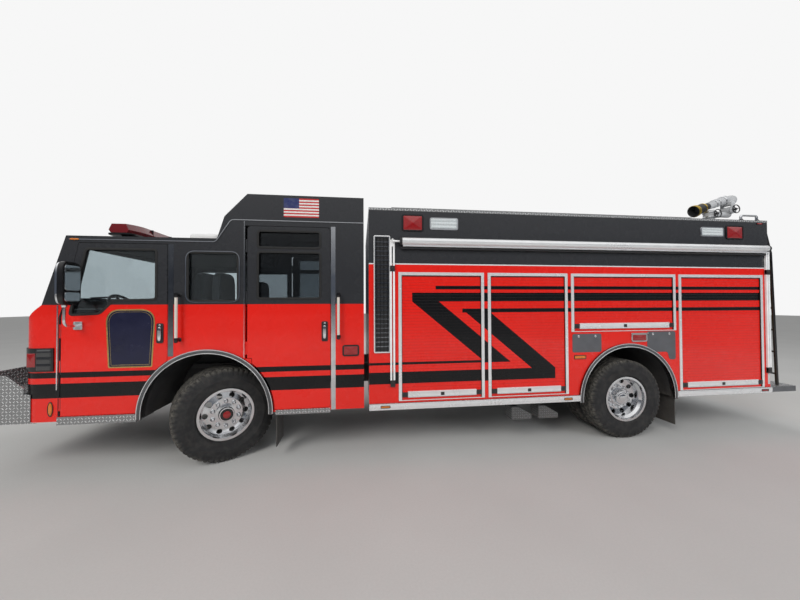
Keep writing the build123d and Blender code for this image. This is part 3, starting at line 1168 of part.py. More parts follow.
barrel = tube([(pivot_x, gun_y, pivot_z + MONITOR_PIVOT_R + 26), (pivot_x + 20, gun_y, pivot_z + CHEEK_TOP),
               (neck_x, gun_y, neck_z - 40), down_barrel(0), down_barrel(MONITOR_BARREL)], MONITOR_PIPE_R - 6)
barrel += rod(down_barrel(MONITOR_BARREL - 20), down_barrel(MONITOR_BARREL + MONITOR_NOZZLE),
              MONITOR_NOZZLE_R)
for side in (-1, 1):
    cheek_y = gun_y + side * (MONITOR_TRUNNION + SEAT_GAP + MONITOR_CHEEK / 2)
    cheek = Pos(pivot_x, cheek_y, pivot_z) * Rot(90, 0, 0) * Cylinder(MONITOR_PIVOT_R, MONITOR_CHEEK)
    cheek += block(pivot_x - CHEEK_HALF, pivot_x + CHEEK_HALF, cheek_y - MONITOR_CHEEK / 2,
                   cheek_y + MONITOR_CHEEK / 2, pivot_z, pivot_z + CHEEK_TOP)
    barrel += cheek
yoke_half = MONITOR_TRUNNION + MONITOR_CHEEK
barrel += block(pivot_x - CHEEK_HALF, pivot_x + CHEEK_HALF, gun_y - yoke_half, gun_y + yoke_half,
                pivot_z + MONITOR_PIVOT_R + 8, pivot_z + CHEEK_TOP)
node("monitor_barrel", barrel)

# Rear ladder on the driver's side
rail_points = [(body_x1 + SEAT_GAP, LADDER_TOP), (body_x1 + LADDER_ARM, LADDER_TOP),
               (body_x1 + LADDER_BEND_OUT, LADDER_BEND), (body_x1 + LADDER_FOOT_OUT, BODY_BOTTOM + 1)]
ladder = None
for y in (LADDER_OUTER_Y, LADDER_OUTER_Y + LADDER_WIDTH):
    stile = tube([(x, y, z) for x, z in rail_points], LADDER_R)
    ladder = stile if ladder is None else ladder + stile
for i in range(LADDER_RUNGS):
    share = (i + 0.5) / LADDER_RUNGS
    x = rail_points[3][0] + (rail_points[2][0] - rail_points[3][0]) * share
    z = rail_points[3][1] + (rail_points[2][1] - rail_points[3][1]) * share
    ladder += rod((x, LADDER_OUTER_Y, z), (x, LADDER_OUTER_Y + LADDER_WIDTH, z), LADDER_RUNG_R)
node("rear_ladder", ladder)


# Tow eyes under the frame's ends
def tow_eye(root, reach):
    """Plate hung under a rail with a pin hole at its tip; reach is negative at the front."""
    x = along(root)
    way = 1 if reach > 0 else -1
    tip = x + reach
    heel = x - way * 150
    face = outline([(x, rail_bottom - SEAT_GAP), (heel, rail_bottom - SEAT_GAP), (heel, rail_bottom - 60),
                    (x, TOW_EYE_Z - 45), (tip, TOW_EYE_Z - 45), (tip, TOW_EYE_Z + 45), (x, TOW_EYE_Z + 90)])
    y0, y1 = -TOW_EYE_Y - TOW_EYE_THICK / 2, -TOW_EYE_Y + TOW_EYE_THICK / 2
    eye = across(face, y0, y1) + across(Pos(tip, TOW_EYE_Z) * Circle(TOW_EYE_RING), y0, y1)
    return eye - across(Pos(tip, TOW_EYE_Z) * Circle(TOW_EYE_R), y0, y1)


node("tow_eyes", *pair(tow_eye(-RAIL_FRONT + 60, -60)), *pair(tow_eye(BODY_END - RAIL_REAR_GAP, 60)))

# Dashboard, steering column and hand wheel
dash_front = along(CAB_FRONT) + CAB_WALL
dash_curve = [(along(distance), z) for distance, z in (DASH_CREST, DASH_BROW, DASH_FACE)]
dash_face = outline([(dash_front, DASH_BOTTOM), (dash_front, DASH_NOSE_TOP)] + dash_curve
                    + [(along(DASH_FACE[0]), DASH_BOTTOM)])
dash = across(dash_face, -floor_half + DOOR_GAP, floor_half - DOOR_GAP) & cab_form(CAB_WALL + SEAT_GAP)
wheel_centre = (along(HAND_WHEEL_PLACE), -SEATS[0][2], HAND_WHEEL_Z)
wheel_plane = Plane(wheel_centre, z_dir=(-0.8, 0, -0.6))
hand_wheel = wheel_plane * Torus(HAND_WHEEL_R, 16)
hand_wheel += wheel_plane * Cylinder(60, 40)
for angle in (0, 90):
    hand_wheel += wheel_plane * Rot(0, 0, angle) * Box(2 * HAND_WHEEL_R, 34, 12)
hand_wheel += wheel_plane * Pos(0, 0, 150) * Cylinder(30, 300)
node("dashboard", dash + hand_wheel)

# Under the floor: fuel tank, air tanks, wheel chocks and mud flaps
node("tanks_and_pump", block(along(FUEL_TANK_START), along(FUEL_TANK_START + FUEL_TANK_LENGTH),
                             -RAIL_HALF, RAIL_HALF, FUEL_TANK_BOTTOM, rail_bottom - SEAT_GAP))
air_z = rail_bottom - AIR_TANK_R - SEAT_GAP
for side in (-1, 1):
    air_y = side * (RAIL_HALF - RAIL_FLANGE / 2)
    node("tanks_and_pump", rod((along(AIR_TANK_START), air_y, air_z),
                               (along(AIR_TANK_START + AIR_TANK_LENGTH), air_y, air_z), AIR_TANK_R))
chock_top = FRONT_SILL - FLOOR_PLATE - SEAT_GAP
for start in CHOCKS:
    x = along(start)
    crest = CHOCK_BOTTOM + CHOCK_HEIGHT
    toe = x + CHOCK_LENGTH
    wedge = outline([(x, CHOCK_BOTTOM), (toe, CHOCK_BOTTOM), (toe, CHOCK_BOTTOM + CHOCK_NOSE),
                     (x + CHOCK_LENGTH / 3, crest), (x, crest)])
    chock_y = -BODY_HALF + CHOCK_INSET
    chock = across(wedge, chock_y, chock_y + CHOCK_WIDTH)
    chock += block(x + CHOCK_HANGER / 2, x + CHOCK_HANGER * 3 / 2, chock_y + CHOCK_INSET,
                   chock_y + CHOCK_WIDTH - CHOCK_INSET, crest - 5, chock_top)
    node("wheel_chocks", *pair(chock))
flap_x = along(REAR_STEP_START) - 1
flap_y = -CAB_HALF + CAB_WALL + FLAP_INSET
front_flap = block(flap_x - FLAP_THICK, flap_x, flap_y, flap_y + FLAP_WIDTH, FLAP_BOTTOM, RAIL_TOP)
rear_flap_x = REAR_AXLE_X + ARCH_R + ARCH_BAND + 14
rear_flap = block(rear_flap_x, rear_flap_x + FLAP_THICK, -BODY_HALF + 45, -DUAL_INNER_Y + 110,
                  FLAP_BOTTOM, AFT_SILL - SEAT_GAP)
node("wheel_arches", *pair(front_flap), *pair(rear_flap))

os.makedirs("parts", exist_ok=True)
for name, solids in sorted(NODES.items()):
    shape = solids[0] if len(solids) == 1 else Compound(solids)
    export_step(shape, f"parts/{name}.step")
print(f"length {LENGTH:.0f}, nodes {len(NODES)}")
print(f"front axle at {FRONT_AXLE_X:.0f}, rear axle at {REAR_AXLE_X:.0f}")
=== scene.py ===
"""Looks of the fire engine: paint and stripes, bright metal, tyres, lamps, glass, seats and the stage round it.

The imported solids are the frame. Surfaces are built in metres as the distance behind the front axle, Y (-Y is the
driver's side) and the height above the ground; `make` moves them to the frame's X.
"""
import json
import math
from functools import partial

import bmesh
import bpy
import numpy as np
from bpy.props import FloatProperty, FloatVectorProperty, IntProperty, PointerProperty
from mathutils import Matrix, Vector


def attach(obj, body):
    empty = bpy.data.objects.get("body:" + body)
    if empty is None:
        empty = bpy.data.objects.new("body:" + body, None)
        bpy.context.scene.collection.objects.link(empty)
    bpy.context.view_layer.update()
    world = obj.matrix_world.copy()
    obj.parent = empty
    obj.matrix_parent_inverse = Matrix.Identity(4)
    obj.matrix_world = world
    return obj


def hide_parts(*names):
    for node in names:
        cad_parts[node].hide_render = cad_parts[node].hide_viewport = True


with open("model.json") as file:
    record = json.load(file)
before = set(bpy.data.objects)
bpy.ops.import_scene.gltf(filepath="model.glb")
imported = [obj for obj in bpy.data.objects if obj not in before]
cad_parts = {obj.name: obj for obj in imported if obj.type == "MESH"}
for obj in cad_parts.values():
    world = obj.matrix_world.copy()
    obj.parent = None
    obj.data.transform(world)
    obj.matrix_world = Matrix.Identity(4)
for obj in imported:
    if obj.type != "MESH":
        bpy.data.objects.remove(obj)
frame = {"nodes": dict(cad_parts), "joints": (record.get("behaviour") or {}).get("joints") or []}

bl_info = {
    "name": "Fire Engine Looks",
    "version": (1, 0, 0),
    "blender": (4, 5, 0),
    "location": "3D View > Sidebar > Fire Engine",
    "description": "Paint, trim, tyres, lamps, glass and seats for the fire engine",
    "category": "Object",
}

JOINTS = {joint["name"]: joint["pos_m"] for joint in frame["joints"]}
FRONT_AXLE_X = JOINTS["steer_left"][0]
REAR_AXLE = JOINTS["rear_wheels_left_spin"][0] - FRONT_AXLE_X
SHIFT = np.array([FRONT_AXLE_X, 0.0, 0.0])
STEER = math.radians(30)
HANDS = (("left", -1), ("right", 1))
CHASSIS = "chassis"

SIDE_Y = 1.25           # the body's skin, from the middle
SKIN = -1.2503          # back of a flat piece on the left skin, a hair off it
ARCH_R, ARCH_BAND = 0.672, 0.049
ARCHES = ((0.0, 0.595), (REAR_AXLE, 0.560))
WELD = 1e-5             # points nearer than this are one
TIP = 0.0001            # radius of a turned profile's end on its axis
FINE = 0.001            # reach of a fine bump in a finish
FULL_TURN = 6.2832
RAIL_OUT, ARCH_OUT = 0.022, 0.024   # how far the rub rails and the arch trims stand off the skin
SHARP = math.radians(38)
OUT, UP, AHEAD = (0, -1, 0), (0, 0, 1), (-1, 0, 0)


def at(distance):
    """X of a place this far behind the front axle."""
    return FRONT_AXLE_X + distance


# Settings a user would change

class PaintSettings(bpy.types.PropertyGroup):
    """Colours of the paint, and where they meet."""
    red: FloatVectorProperty(name="Red", description="Lower paint", subtype="COLOR", size=3,
                             default=(0.80, 0.014, 0.007))
    charcoal: FloatVectorProperty(name="Charcoal", description="Upper paint", subtype="COLOR", size=3,
                                  default=(0.026, 0.027, 0.03))
    black: FloatVectorProperty(name="Stripe black", description="Stripes", subtype="COLOR", size=3,
                               default=(0.003, 0.003, 0.004))
    cab_belt: FloatProperty(name="Cab belt", description="Height where the cab's red ends", default=1.8245,
                            unit="LENGTH")
    body_belt: FloatProperty(name="Body belt", description="Height where the body's red ends", default=2.303,
                             unit="LENGTH")
    dust: FloatProperty(name="Road dust", description="How much dust lies low on the paint", default=0.08,
                        subtype="FACTOR")


class TyreSettings(bpy.types.PropertyGroup):
    """Tread of the tyres."""
    blocks: IntProperty(name="Tread blocks", description="Blocks round each tyre", default=56)
    depth: FloatProperty(name="Tread depth", description="Depth of the grooves", default=0.014, unit="LENGTH")
    colour: FloatVectorProperty(name="Rubber", description="Rubber's colour", subtype="COLOR", size=3,
                                default=(0.018, 0.018, 0.019))


class SeatSettings(bpy.types.PropertyGroup):
    """Crew seats."""
    colour: FloatVectorProperty(name="Cloth", description="Seat cloth", subtype="COLOR", size=3,
                                default=(0.045, 0.048, 0.055))
    fill: FloatProperty(name="Fill", description="How full the pads are", default=0.75, subtype="FACTOR")


class StageSettings(bpy.types.PropertyGroup):
    """Floor, light and camera."""
    floor: FloatVectorProperty(name="Floor", description="Floor's colour", subtype="COLOR", size=3,
                               default=(0.62, 0.62, 0.61))
    lens: FloatProperty(name="Lens", description="Focal length in millimetres on a 36 mm sensor", default=14.175)
    sun: FloatProperty(name="Key light", description="Strength of the broad key light", default=1.15)
    shine: FloatProperty(name="Reflected sky", description="Strength of the sky in bright metal", default=1.0)
    sky: FloatProperty(name="Fill light", description="Strength of the light from all round", default=0.4)


# Surfaces: each function works on whole arrays and returns points and faces

def grid_faces(rows, columns, wrap_rows=False, wrap_columns=False):
    """Quads of a grid of rows by columns; a wrapped side joins its end to its start."""
    r = np.arange(rows if wrap_rows else rows - 1)[:, None]
    c = np.arange(columns if wrap_columns else columns - 1)[None, :]
    r1, c1 = (r + 1) % rows, (c + 1) % columns
    corners = [r * columns + c, r * columns + c1, r1 * columns + c1, r1 * columns + c]
    return np.stack(corners, axis=-1).reshape(-1, 4).tolist()


def unit(vectors):
    """Each vector divided by its own length."""
    return vectors / np.linalg.norm(vectors, axis=-1, keepdims=True)


def boxes(*rows):
    """Boxes from rows of x0, x1, y0, y1, z0, z1: each corner takes one end of each span."""
    pick = np.array([[0, 2, 4], [1, 2, 4], [1, 3, 4], [0, 3, 4], [0, 2, 5], [1, 2, 5], [1, 3, 5], [0, 3, 5]])
    sides = np.array([[0, 3, 2, 1], [4, 5, 6, 7], [0, 1, 5, 4], [1, 2, 6, 5], [2, 3, 7, 6], [3, 0, 4, 7]])
    starts = 8 * np.arange(len(rows))[:, None, None]
    return np.array(rows, float)[:, pick].reshape(-1, 3), (sides + starts).reshape(-1, 4).tolist()


def stud(radius):
    """Profile of a flat round stud."""
    return [(radius, 0.0), (radius, 0.004), (radius - 0.004, 0.007), (TIP, 0.007)]


def placed(points, origin, along):
    """Points built about Z, their Z turned to `along` and moved to `origin`."""
    z = unit(np.asarray(along, float))
    x = np.cross(UP, z)
    x = np.array([1.0, 0, 0]) if np.linalg.norm(x) < 1e-6 else unit(x)
    return np.asarray(points) @ np.stack([x, np.cross(z, x), z]) + origin


def lathe(profile, origin, along, turns=24, closed=False):
    """A profile of (radius, height) turned about an axis: x is radius times the cosine of the turn and y times its
    sine. A closed profile joins its end to its start; an open one gets a point on the axis at each end."""
    radius, height = np.asarray(profile, float).T
    k, turn = len(radius), np.linspace(0, 2 * np.pi, turns, endpoint=False)[:, None]
    level = np.broadcast_to(height, (turns, k))
    points = np.stack([radius * np.cos(turn), radius * np.sin(turn), level], axis=-1).reshape(-1, 3)
    faces = grid_faces(turns, k, wrap_rows=True, wrap_columns=closed)
    if not closed:
        points = np.concatenate([points, [[0, 0, height[0]], [0, 0, height[-1]]]])
        i = np.arange(turns)
        j, tip = (i + 1) % turns, np.full(turns, turns * k)
        faces += np.stack([tip, j * k, i * k], axis=-1).tolist()
        faces += np.stack([tip + 1, i * k + k - 1, j * k + k - 1], axis=-1).tolist()
    return placed(points, origin, along), faces


def torus(radius, thick, origin, along, turns=40, sides=12):
    """Round ring: a circle of half width `thick` carried round a circle of `radius`."""
    b = np.arange(sides) * (2 * np.pi / sides)
    circle = np.stack([radius + thick * np.cos(b), thick * np.sin(b)], axis=-1)
    return lathe(circle, origin, along, turns, closed=True)


def blends(before, corners, after, radius, steps):
    """Corners rounded: each is a quadratic blend between two points, `radius` towards the corner before and after."""
    def towards(end):
        way = end - corners
        length = np.linalg.norm(way, axis=1)[:, None]
        return (corners + way / length * np.minimum(np.reshape(radius, (-1, 1)), 0.45 * length))[:, None]

    t = np.linspace(0, 1, steps)[None, :, None]
    bend = (1 - t) ** 2 * towards(before) + 2 * t * (1 - t) * corners[:, None] + t ** 2 * towards(after)
    return bend.reshape(-1, corners.shape[1])


def open_path(corners, radius, steps=7):
    """A path with its inner corners rounded."""
    c = np.asarray(corners, float)
    return np.concatenate([c[:1], blends(c[:-2], c[1:-1], c[2:], radius, steps), c[-1:]])


def closed_path(corners, radius, steps=6):
    """A closed flat path with its corners rounded; the radius may differ from corner to corner."""
    c = np.asarray(corners, float)
    return blends(np.roll(c, 1, axis=0), c, np.roll(c, -1, axis=0), radius, steps)


def rect(x0, x1, z0, z1):
    """Corners of an upright rectangle."""
    return [(x0, z0), (x1, z0), (x1, z1), (x0, z1)]


def pipe(path, radius, turns=16, squash=1.0):
    """A round pipe: at each path point a circle across the path's direction; squash flattens it one way."""
    path = np.asarray(path, float)
    ahead = unit(np.gradient(path, axis=0))
    lateral = np.cross(ahead, (0.0, 1.0, 0.0))
    if np.linalg.norm(lateral, axis=1).min() <= 0.2:
        level = np.cross(ahead, (0.0, 0.0, 1.0))
        lateral = np.where(np.linalg.norm(level, axis=1)[:, None] < 0.2, lateral, level)
    lateral = unit(lateral)
    upward = np.cross(lateral, ahead)
    turn = np.linspace(0, 2 * np.pi, turns, endpoint=False)[None, :, None]
    radius = np.broadcast_to(np.asarray(radius, float), (len(path),))[:, None, None]
    ring = lateral[:, None] * np.cos(turn) + squash * upward[:, None] * np.sin(turn)
    faces = [face[::-1] for face in grid_faces(len(path), turns, wrap_columns=True)]
    last = (len(path) - 1) * turns
    faces += [list(range(turns)), list(range(last, last + turns))[::-1]]
    return (path[:, None] + radius * ring).reshape(-1, 3), faces


def prism(outline, axis, low, high):
    """A flat outline carried along one axis; the outline's two numbers are the other two axes in order."""
    outline = np.asarray(outline, float)
    a, b = outline.T
    area = np.sum(a * np.roll(b, -1) - np.roll(a, -1) * b)
    if (area > 0) if axis == "Y" else (area < 0):
        outline = outline[::-1]
    n = len(outline)
    points = np.concatenate([np.insert(outline, "XYZ".index(axis), level, axis=1) for level in (low, high)])
    sides = [[i, (i + 1) % n, (i + 1) % n + n, i + n] for i in range(n)]
    return points, sides + [list(range(n))[::-1], list(range(n, 2 * n))]


def moulding(path, section, skin=SIDE_Y, closed=False):
    """A section carried along a flat path on the left side: the section's first number goes across the path in the
    side's plane, its second out from the skin."""
    path, section = np.asarray(path, float), np.asarray(section, float)
    ahead = unit(np.roll(path, -1, axis=0) - np.roll(path, 1, axis=0) if closed else np.gradient(path, axis=0))
    across = np.stack([-ahead[:, 1], ahead[:, 0]], axis=-1)
    flat = path[:, None] + across[:, None] * section[None, :, :1]
    out = np.broadcast_to(-(skin + section[None, :, 1]), flat.shape[:2])
    k, end = len(section), (len(path) - 1) * len(section)
    faces = grid_faces(len(path), k, wrap_rows=closed, wrap_columns=True)
    if not closed:
        faces += [list(range(k)), list(range(end, end + k))[::-1]]
    return np.stack([flat[..., 0], out, flat[..., 1]], axis=-1).reshape(-1, 3), faces


def bead(width, height, lift=0.0003):
    """Section of a flat bead with rounded shoulders."""
    half = width / 2
    return [(-half, lift), (-half, lift + height * 0.55), (-half * 0.72, lift + height),
            (half * 0.72, lift + height), (half, lift + height * 0.55), (half, lift)]


def lens_form(low, high, base, lift, shape, rows=24, columns=32):
    """Lens on a flat back: over the unit square its height is `shape(u, v)` times lift, nought at the edge.
    low and high are corners in the side's plane, base is how far the back stands from the middle."""
    u, v = np.meshgrid(np.linspace(-1, 1, columns), np.linspace(-1, 1, rows))
    edge = np.clip(np.minimum(1 - np.abs(u), 1 - np.abs(v)) / 0.12, 0, 1) ** 0.5
    x = (low[0] + high[0]) / 2 + u * (high[0] - low[0]) / 2
    z = (low[1] + high[1]) / 2 + v * (high[1] - low[1]) / 2
    i = np.arange(rows * columns).reshape(rows, columns)
    border = np.concatenate([i[0, :-1], i[:-1, -1], i[-1, :0:-1], i[:0:-1, 0]]).tolist()
    points = np.stack([x, -(base + lift * shape(u, v) * edge), z], axis=-1)
    return points.reshape(-1, 3), grid_faces(rows, columns) + [border]


def pyramid(u, v):
    """Four sloping facets that meet in the middle."""
    return 0.3 + 0.7 * (1 - np.maximum(np.abs(u), np.abs(v)))


def three_rows(u, v):
    """Three cushioned rows crossed by cells."""
    return 0.4 + 0.5 * np.abs(np.cos(1.5 * np.pi * v)) + 0.15 * np.abs(np.cos(5 * np.pi * u))


def to_rear(form, x):
    """A side surface turned to face backwards: X becomes Y, and out from the skin becomes out from x."""
    points, faces = form
    return np.stack([x - points[:, 1], points[:, 0], points[:, 2]], axis=-1), faces


def soft_box(centre, half, power=4.0, rows=24, columns=48):
    """A rounded box: sine and cosine of two angles raised to 2 / power, which squares a ball off."""
    def squared(x):
        return np.sign(x) * np.abs(x) ** (2 / power)

    v = np.linspace(-np.pi / 2, np.pi / 2, rows)[:, None]
    u = np.linspace(-np.pi, np.pi, columns, endpoint=False)[None, :]
    points = np.stack([squared(np.cos(v)) * squared(np.cos(u)), squared(np.cos(v)) * squared(np.sin(u)),
                       squared(np.sin(v)) * np.ones_like(u)], axis=-1)
    return (points * half + np.asarray(centre)).reshape(-1, 3), grid_faces(rows, columns, wrap_columns=True)


# Pieces: surfaces in, objects out

def joined(surfaces):
    """Several surfaces as one."""
    points, faces = np.empty((0, 3)), []
    for more, corners in surfaces:
        faces += [[i + len(points) for i in face] for face in corners]
        points = np.concatenate([points, more])
    return points, faces


def make(name, surfaces, finish, body=CHASSIS, slot=None, bevel=0.0, stands_for=()):
    """Puts surfaces into the scene as one piece that rides on a body."""
    points, faces = joined(surfaces)
    mesh = bpy.data.meshes.new(name)
    mesh.from_pydata(points + SHIFT, [], faces)
    work = bmesh.new()
    work.from_mesh(mesh)
    bmesh.ops.remove_doubles(work, verts=work.verts, dist=WELD)
    bmesh.ops.recalc_face_normals(work, faces=work.faces)
    work.to_mesh(mesh)
    work.free()
    mesh.update()
    mesh.materials.append(M[finish])
    mesh.shade_smooth()
    mesh.set_sharp_from_angle(angle=SHARP)
    piece = bpy.data.objects.new(name, mesh)
    bpy.context.scene.collection.objects.link(piece)
    if bevel:
        edge = piece.modifiers.new("Edges", "BEVEL")
        edge.width, edge.segments, edge.limit_method, edge.harden_normals = bevel, 2, "ANGLE", True
    slot = slot or SLOTS[finish]
    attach(piece, body)
    if stands_for:
        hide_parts(*stands_for)
    return piece


def make_pair(name, surfaces, finish, **more):
    """One piece of left-hand surfaces and their mirror images, whose faces are turned round to point out."""
    points, faces = joined(surfaces)
    make(name, [(points, faces), (points * (1, -1, 1), [face[::-1] for face in faces])], finish, **more)


def make_twins(name, surfaces, finish, body=CHASSIS, stands_for=(), **more):
    """Left and right copies of left-hand surfaces, each riding on its own side's body."""
    points, faces = joined(surfaces)
    for hand, side in HANDS:
        make(f"{name}_{hand}", [(points * (1, -side, 1), faces)], finish, body.format(hand=hand),
             stands_for=[node.format(hand=hand) for node in stands_for], **more)


# Shader helpers and shared groups

def put(tree, kind, values, **settings):
    """One node: its settings, and its inputs by name or number, each linked to a value or set to a constant."""
    item = tree.nodes.new(kind)
    for key, value in settings.items():
        setattr(item, key, value)
    for key, value in values.items():
        if isinstance(value, Value):
            tree.links.new(value.socket, item.inputs[key])
        else:
            item.inputs[key].default_value = value
    return item


def math_node(operation, swapped=False):
    """A method that puts one Math node on a value and a second operand."""
    def method(self, other=0.0):
        first, second = (other, self) if swapped else (self, other)
        return self.feed("ShaderNodeMath", {0: first, 1: second, 2: 0.0}, operation=operation)

    return method


class Value:
    """One shader value. Sums, products, comparisons and the like make Math nodes in its tree."""
    __add__, __sub__, __mul__, __truediv__ = map(math_node, ("ADD", "SUBTRACT", "MULTIPLY", "DIVIDE"))
    __gt__, __lt__, __or__, __pow__ = map(math_node, ("GREATER_THAN", "LESS_THAN", "MAXIMUM", "POWER"))
    __abs__, floor, fract, sine, root = map(math_node, ("ABSOLUTE", "FLOOR", "FRACT", "SINE", "SQRT"))
    least, arctan = map(math_node, ("MINIMUM", "ARCTAN2"))
    __rsub__, __rmul__, __rtruediv__ = (math_node(kind, True) for kind in ("SUBTRACT", "MULTIPLY", "DIVIDE"))

    def __init__(self, socket):
        self.socket = socket

    def feed(self, kind, values, output=0, **settings):
        """A node in the same tree, as a value."""
        return Value(put(self.socket.id_data, kind, values, **settings).outputs[output])

    def held(self):
        """The same value held between 0 and 1."""
        self.socket.node.use_clamp = True
        return self

    def ramp(self, low, high, out_low=0.0, out_high=1.0):
        """Carried from low..high to out_low..out_high, and held at the ends."""
        return self.feed("ShaderNodeMapRange", {"Value": self, "From Min": low, "From Max": high, "To Min": out_low,
                                                "To Max": out_high}, clamp=True)

    def sine_wave(self, scale):
        """Height of an upright rib: the sine's size at this scale."""
        return abs((self * scale).sine())


def parts(vector):
    """X, Y and Z of a vector."""
    node = put(vector.socket.id_data, "ShaderNodeSeparateXYZ", {0: vector})
    return [Value(socket) for socket in node.outputs]


def face_way(place):
    """X, Y and Z of the way the face looks."""
    return parts(place.feed("ShaderNodeNewGeometry", {}, "True Normal"))


def mix(factor, a, b):
    """Colour a where the factor is 0 and b where it is 1."""
    a, b = (c if isinstance(c, Value) else (*tuple(c)[:3], 1) for c in (a, b))
    return factor.feed("ShaderNodeMix", {0: factor, 6: a, 7: b}, 2, data_type="RGBA", clamp_factor=True)


def tone(colour, factor, lift=0.0):
    """A colour made darker or lighter."""
    return tuple(min(1.0, c * factor + lift) for c in colour)


def noise(place, scale, detail=3.0, stretch=None):
    """Cloudy noise between 0 and 1."""
    if stretch:
        place = place.feed("ShaderNodeMapping", {"Vector": place, "Scale": stretch})
    return place.feed("ShaderNodeTexNoise", {"Vector": place, "Scale": scale, "Detail": detail}, "Fac")


def bump(height, strength=0.5, distance=0.002, normal=None):
    """Normal bent by a height."""
    values = {"Height": height, "Strength": strength, "Distance": distance}
    return height.feed("ShaderNodeBump", {**values, "Normal": normal} if normal else values)


def mottle(place, scale, low=0.0, high=1.0, detail=3.0):
    """Clouds with their contrast drawn out, from low to high."""
    return noise(place, scale, detail).ramp(0.3, 0.7, low, high)


def grained(place, scale, strength, detail=2.0):
    """Normal bent by fine noise."""
    return bump(noise(place, scale, detail), strength, FINE)


def slanted_band(place, low, high, start, end, slant, stop):
    """1 in a band between two heights whose ends lean over."""
    x, _, z = parts(place)
    along = x + slant * (z - high)
    return (z > low) * (z < high) * (along > start) * (along < end) * (x < stop)


def road_dust(place, height, amount):
    """Clouds and specks of dust that fade out with height."""
    low = (1.0 - parts(place)[2] / height).held()
    cloud = noise(place, 3.2, 6.0).ramp(0.3, 0.75)
    speck = noise(place, 90.0, 2.0).ramp(0.5, 0.72)
    return ((cloud * 0.7 + speck * 0.4) * low * amount).held()


def fine_wear(place, scale, low, high):
    """Smears and hair lines: their mask, and the roughness they give."""
    smear = noise(place, scale, 5.0)
    hair = noise(place, 60.0, 2.0, stretch=(1.0, 1.0, 14.0))
    mask = (smear * 0.75 + hair * 0.25).ramp(0.3, 0.7)
    return low + mask * (high - low), mask


def face_plane(place, pitch):
    """Place on the face's own plane, counted in pitches."""
    x, y, z = parts(place)
    way = face_way(place)
    ends, top = abs(way[0]) > 0.7, abs(way[2]) > 0.7
    u = x * (1.0 - ends) + y * ends
    v = z * (1.0 - top) + y * top
    return u.feed("ShaderNodeCombineXYZ", {0: u / pitch, 1: v / pitch})


def diamond_plate(flat):
    """Raised lozenges that lie one way and the other in turn."""
    x, y, _ = parts(flat)
    total = x.floor() + y.floor()
    odd = abs(total - 2.0 * (total * 0.5).floor()) > 0.5
    u, v = x.fract() - 0.5, y.fract() - 0.5
    v = v * (1.0 - 2.0 * odd)
    return ((abs(u + v) * 1.35) ** 2.0 + (abs(u - v) * 3.6) ** 2.0).ramp(1.0, 0.35)


def wheel_well(place):
    """1 on the faces inside the wheel arches."""
    x, _, z = parts(place)
    reach = [dx * dx + dz * dz for dx, dz in ((x - at(d), z - height) for d, height in ARCHES)]
    return (abs(face_way(place)[1]) < 0.5) * (reach[0].least(reach[1]) < (ARCH_R + 0.02) ** 2)


def slats(place, pitch):
    """Rounded slats one above the other, and the gaps between them."""
    wave = abs((parts(place)[2] / pitch).fract() - 0.5)
    return wave.ramp(0.5, 0.38), wave.ramp(0.45, 0.5)


def weave(place, pitch):
    """Threads over and under each other."""
    x, y, z = parts(place.feed("ShaderNodeVectorMath", {0: place, "Scale": FULL_TURN / pitch}, operation="SCALE"))
    return (x + z).sine() * (y + z).sine()


# Shared groups: what makes them, inputs with their defaults (None for a vector) and outputs
GROUPS = {
    "Slanted Band": (slanted_band, {"Place": None, "Low": 0.0, "High": 1.0, "Start": -99.0, "End": 99.0, "Slant": 0.0,
                                    "Stop": 99.0}, ("Mask",)),
    "Road Dust": (road_dust, {"Place": None, "Height": 1.0, "Amount": 0.3}, ("Mask",)),
    "Fine Wear": (fine_wear, {"Place": None, "Scale": 14.0, "Low": 0.1, "High": 0.3}, ("Roughness", "Mask")),
    "Face Plane": (face_plane, {"Place": None, "Pitch": 0.03}, ("Flat",)),
    "Diamond Plate": (diamond_plate, {"Flat": None}, ("Height",)),
    "Wheel Well": (wheel_well, {"Place": None}, ("Mask",)),
    "Slats": (slats, {"Place": None, "Pitch": 0.038}, ("Height", "Gap")),
    "Weave": (weave, {"Place": None, "Pitch": 0.004}, ("Height",)),
}


def make_groups():
    """The effects that several finishes share."""
    for name, (work, inputs, outputs) in GROUPS.items():
        tree = bpy.data.node_groups.new(name, "ShaderNodeTree")
        for label, default in inputs.items():
            kind = "NodeSocketVector" if default is None else "NodeSocketFloat"
            socket = tree.interface.new_socket(label, in_out="INPUT", socket_type=kind)
            if default is not None:
                socket.default_value = default
        for label in outputs:
            kind = "NodeSocketVector" if label == "Flat" else "NodeSocketFloat"
            tree.interface.new_socket(label, in_out="OUTPUT", socket_type=kind)
        given = tree.nodes.new("NodeGroupInput").outputs
        result = work(*[Value(given[label]) for label in inputs])
        end = tree.nodes.new("NodeGroupOutput").inputs
        for label, value in zip(outputs, result if isinstance(result, tuple) else (result,)):
            tree.links.new(value.socket, end[label])


def group(name, **values):
    """Places a shared group and returns its outputs."""
    tree = next(value.socket.id_data for value in values.values() if isinstance(value, Value))
    item = put(tree, "ShaderNodeGroup", values, node_tree=bpy.data.node_groups[name])
    outputs = [Value(socket) for socket in item.outputs]
    return outputs if len(outputs) > 1 else outputs[0]


# Finishes

def surface(name, colour=None, roughness=0.4, **plain):
    """A material and its Object coordinates; plain values are set on the Principled shader's own sockets."""
    material = bpy.data.materials.new(name)
    material.use_nodes = True
    inputs = material.node_tree.nodes["Principled BSDF"].inputs
    inputs["Roughness"].default_value = roughness
    if colour is not None:
        inputs["Base Color"].default_value = (*tuple(colour)[:3], 1)
    for key, value in plain.items():
        inputs[key.replace("_", " ")].default_value = value
    return material, Value(material.node_tree.nodes.new("ShaderNodeTexCoord").outputs["Object"])


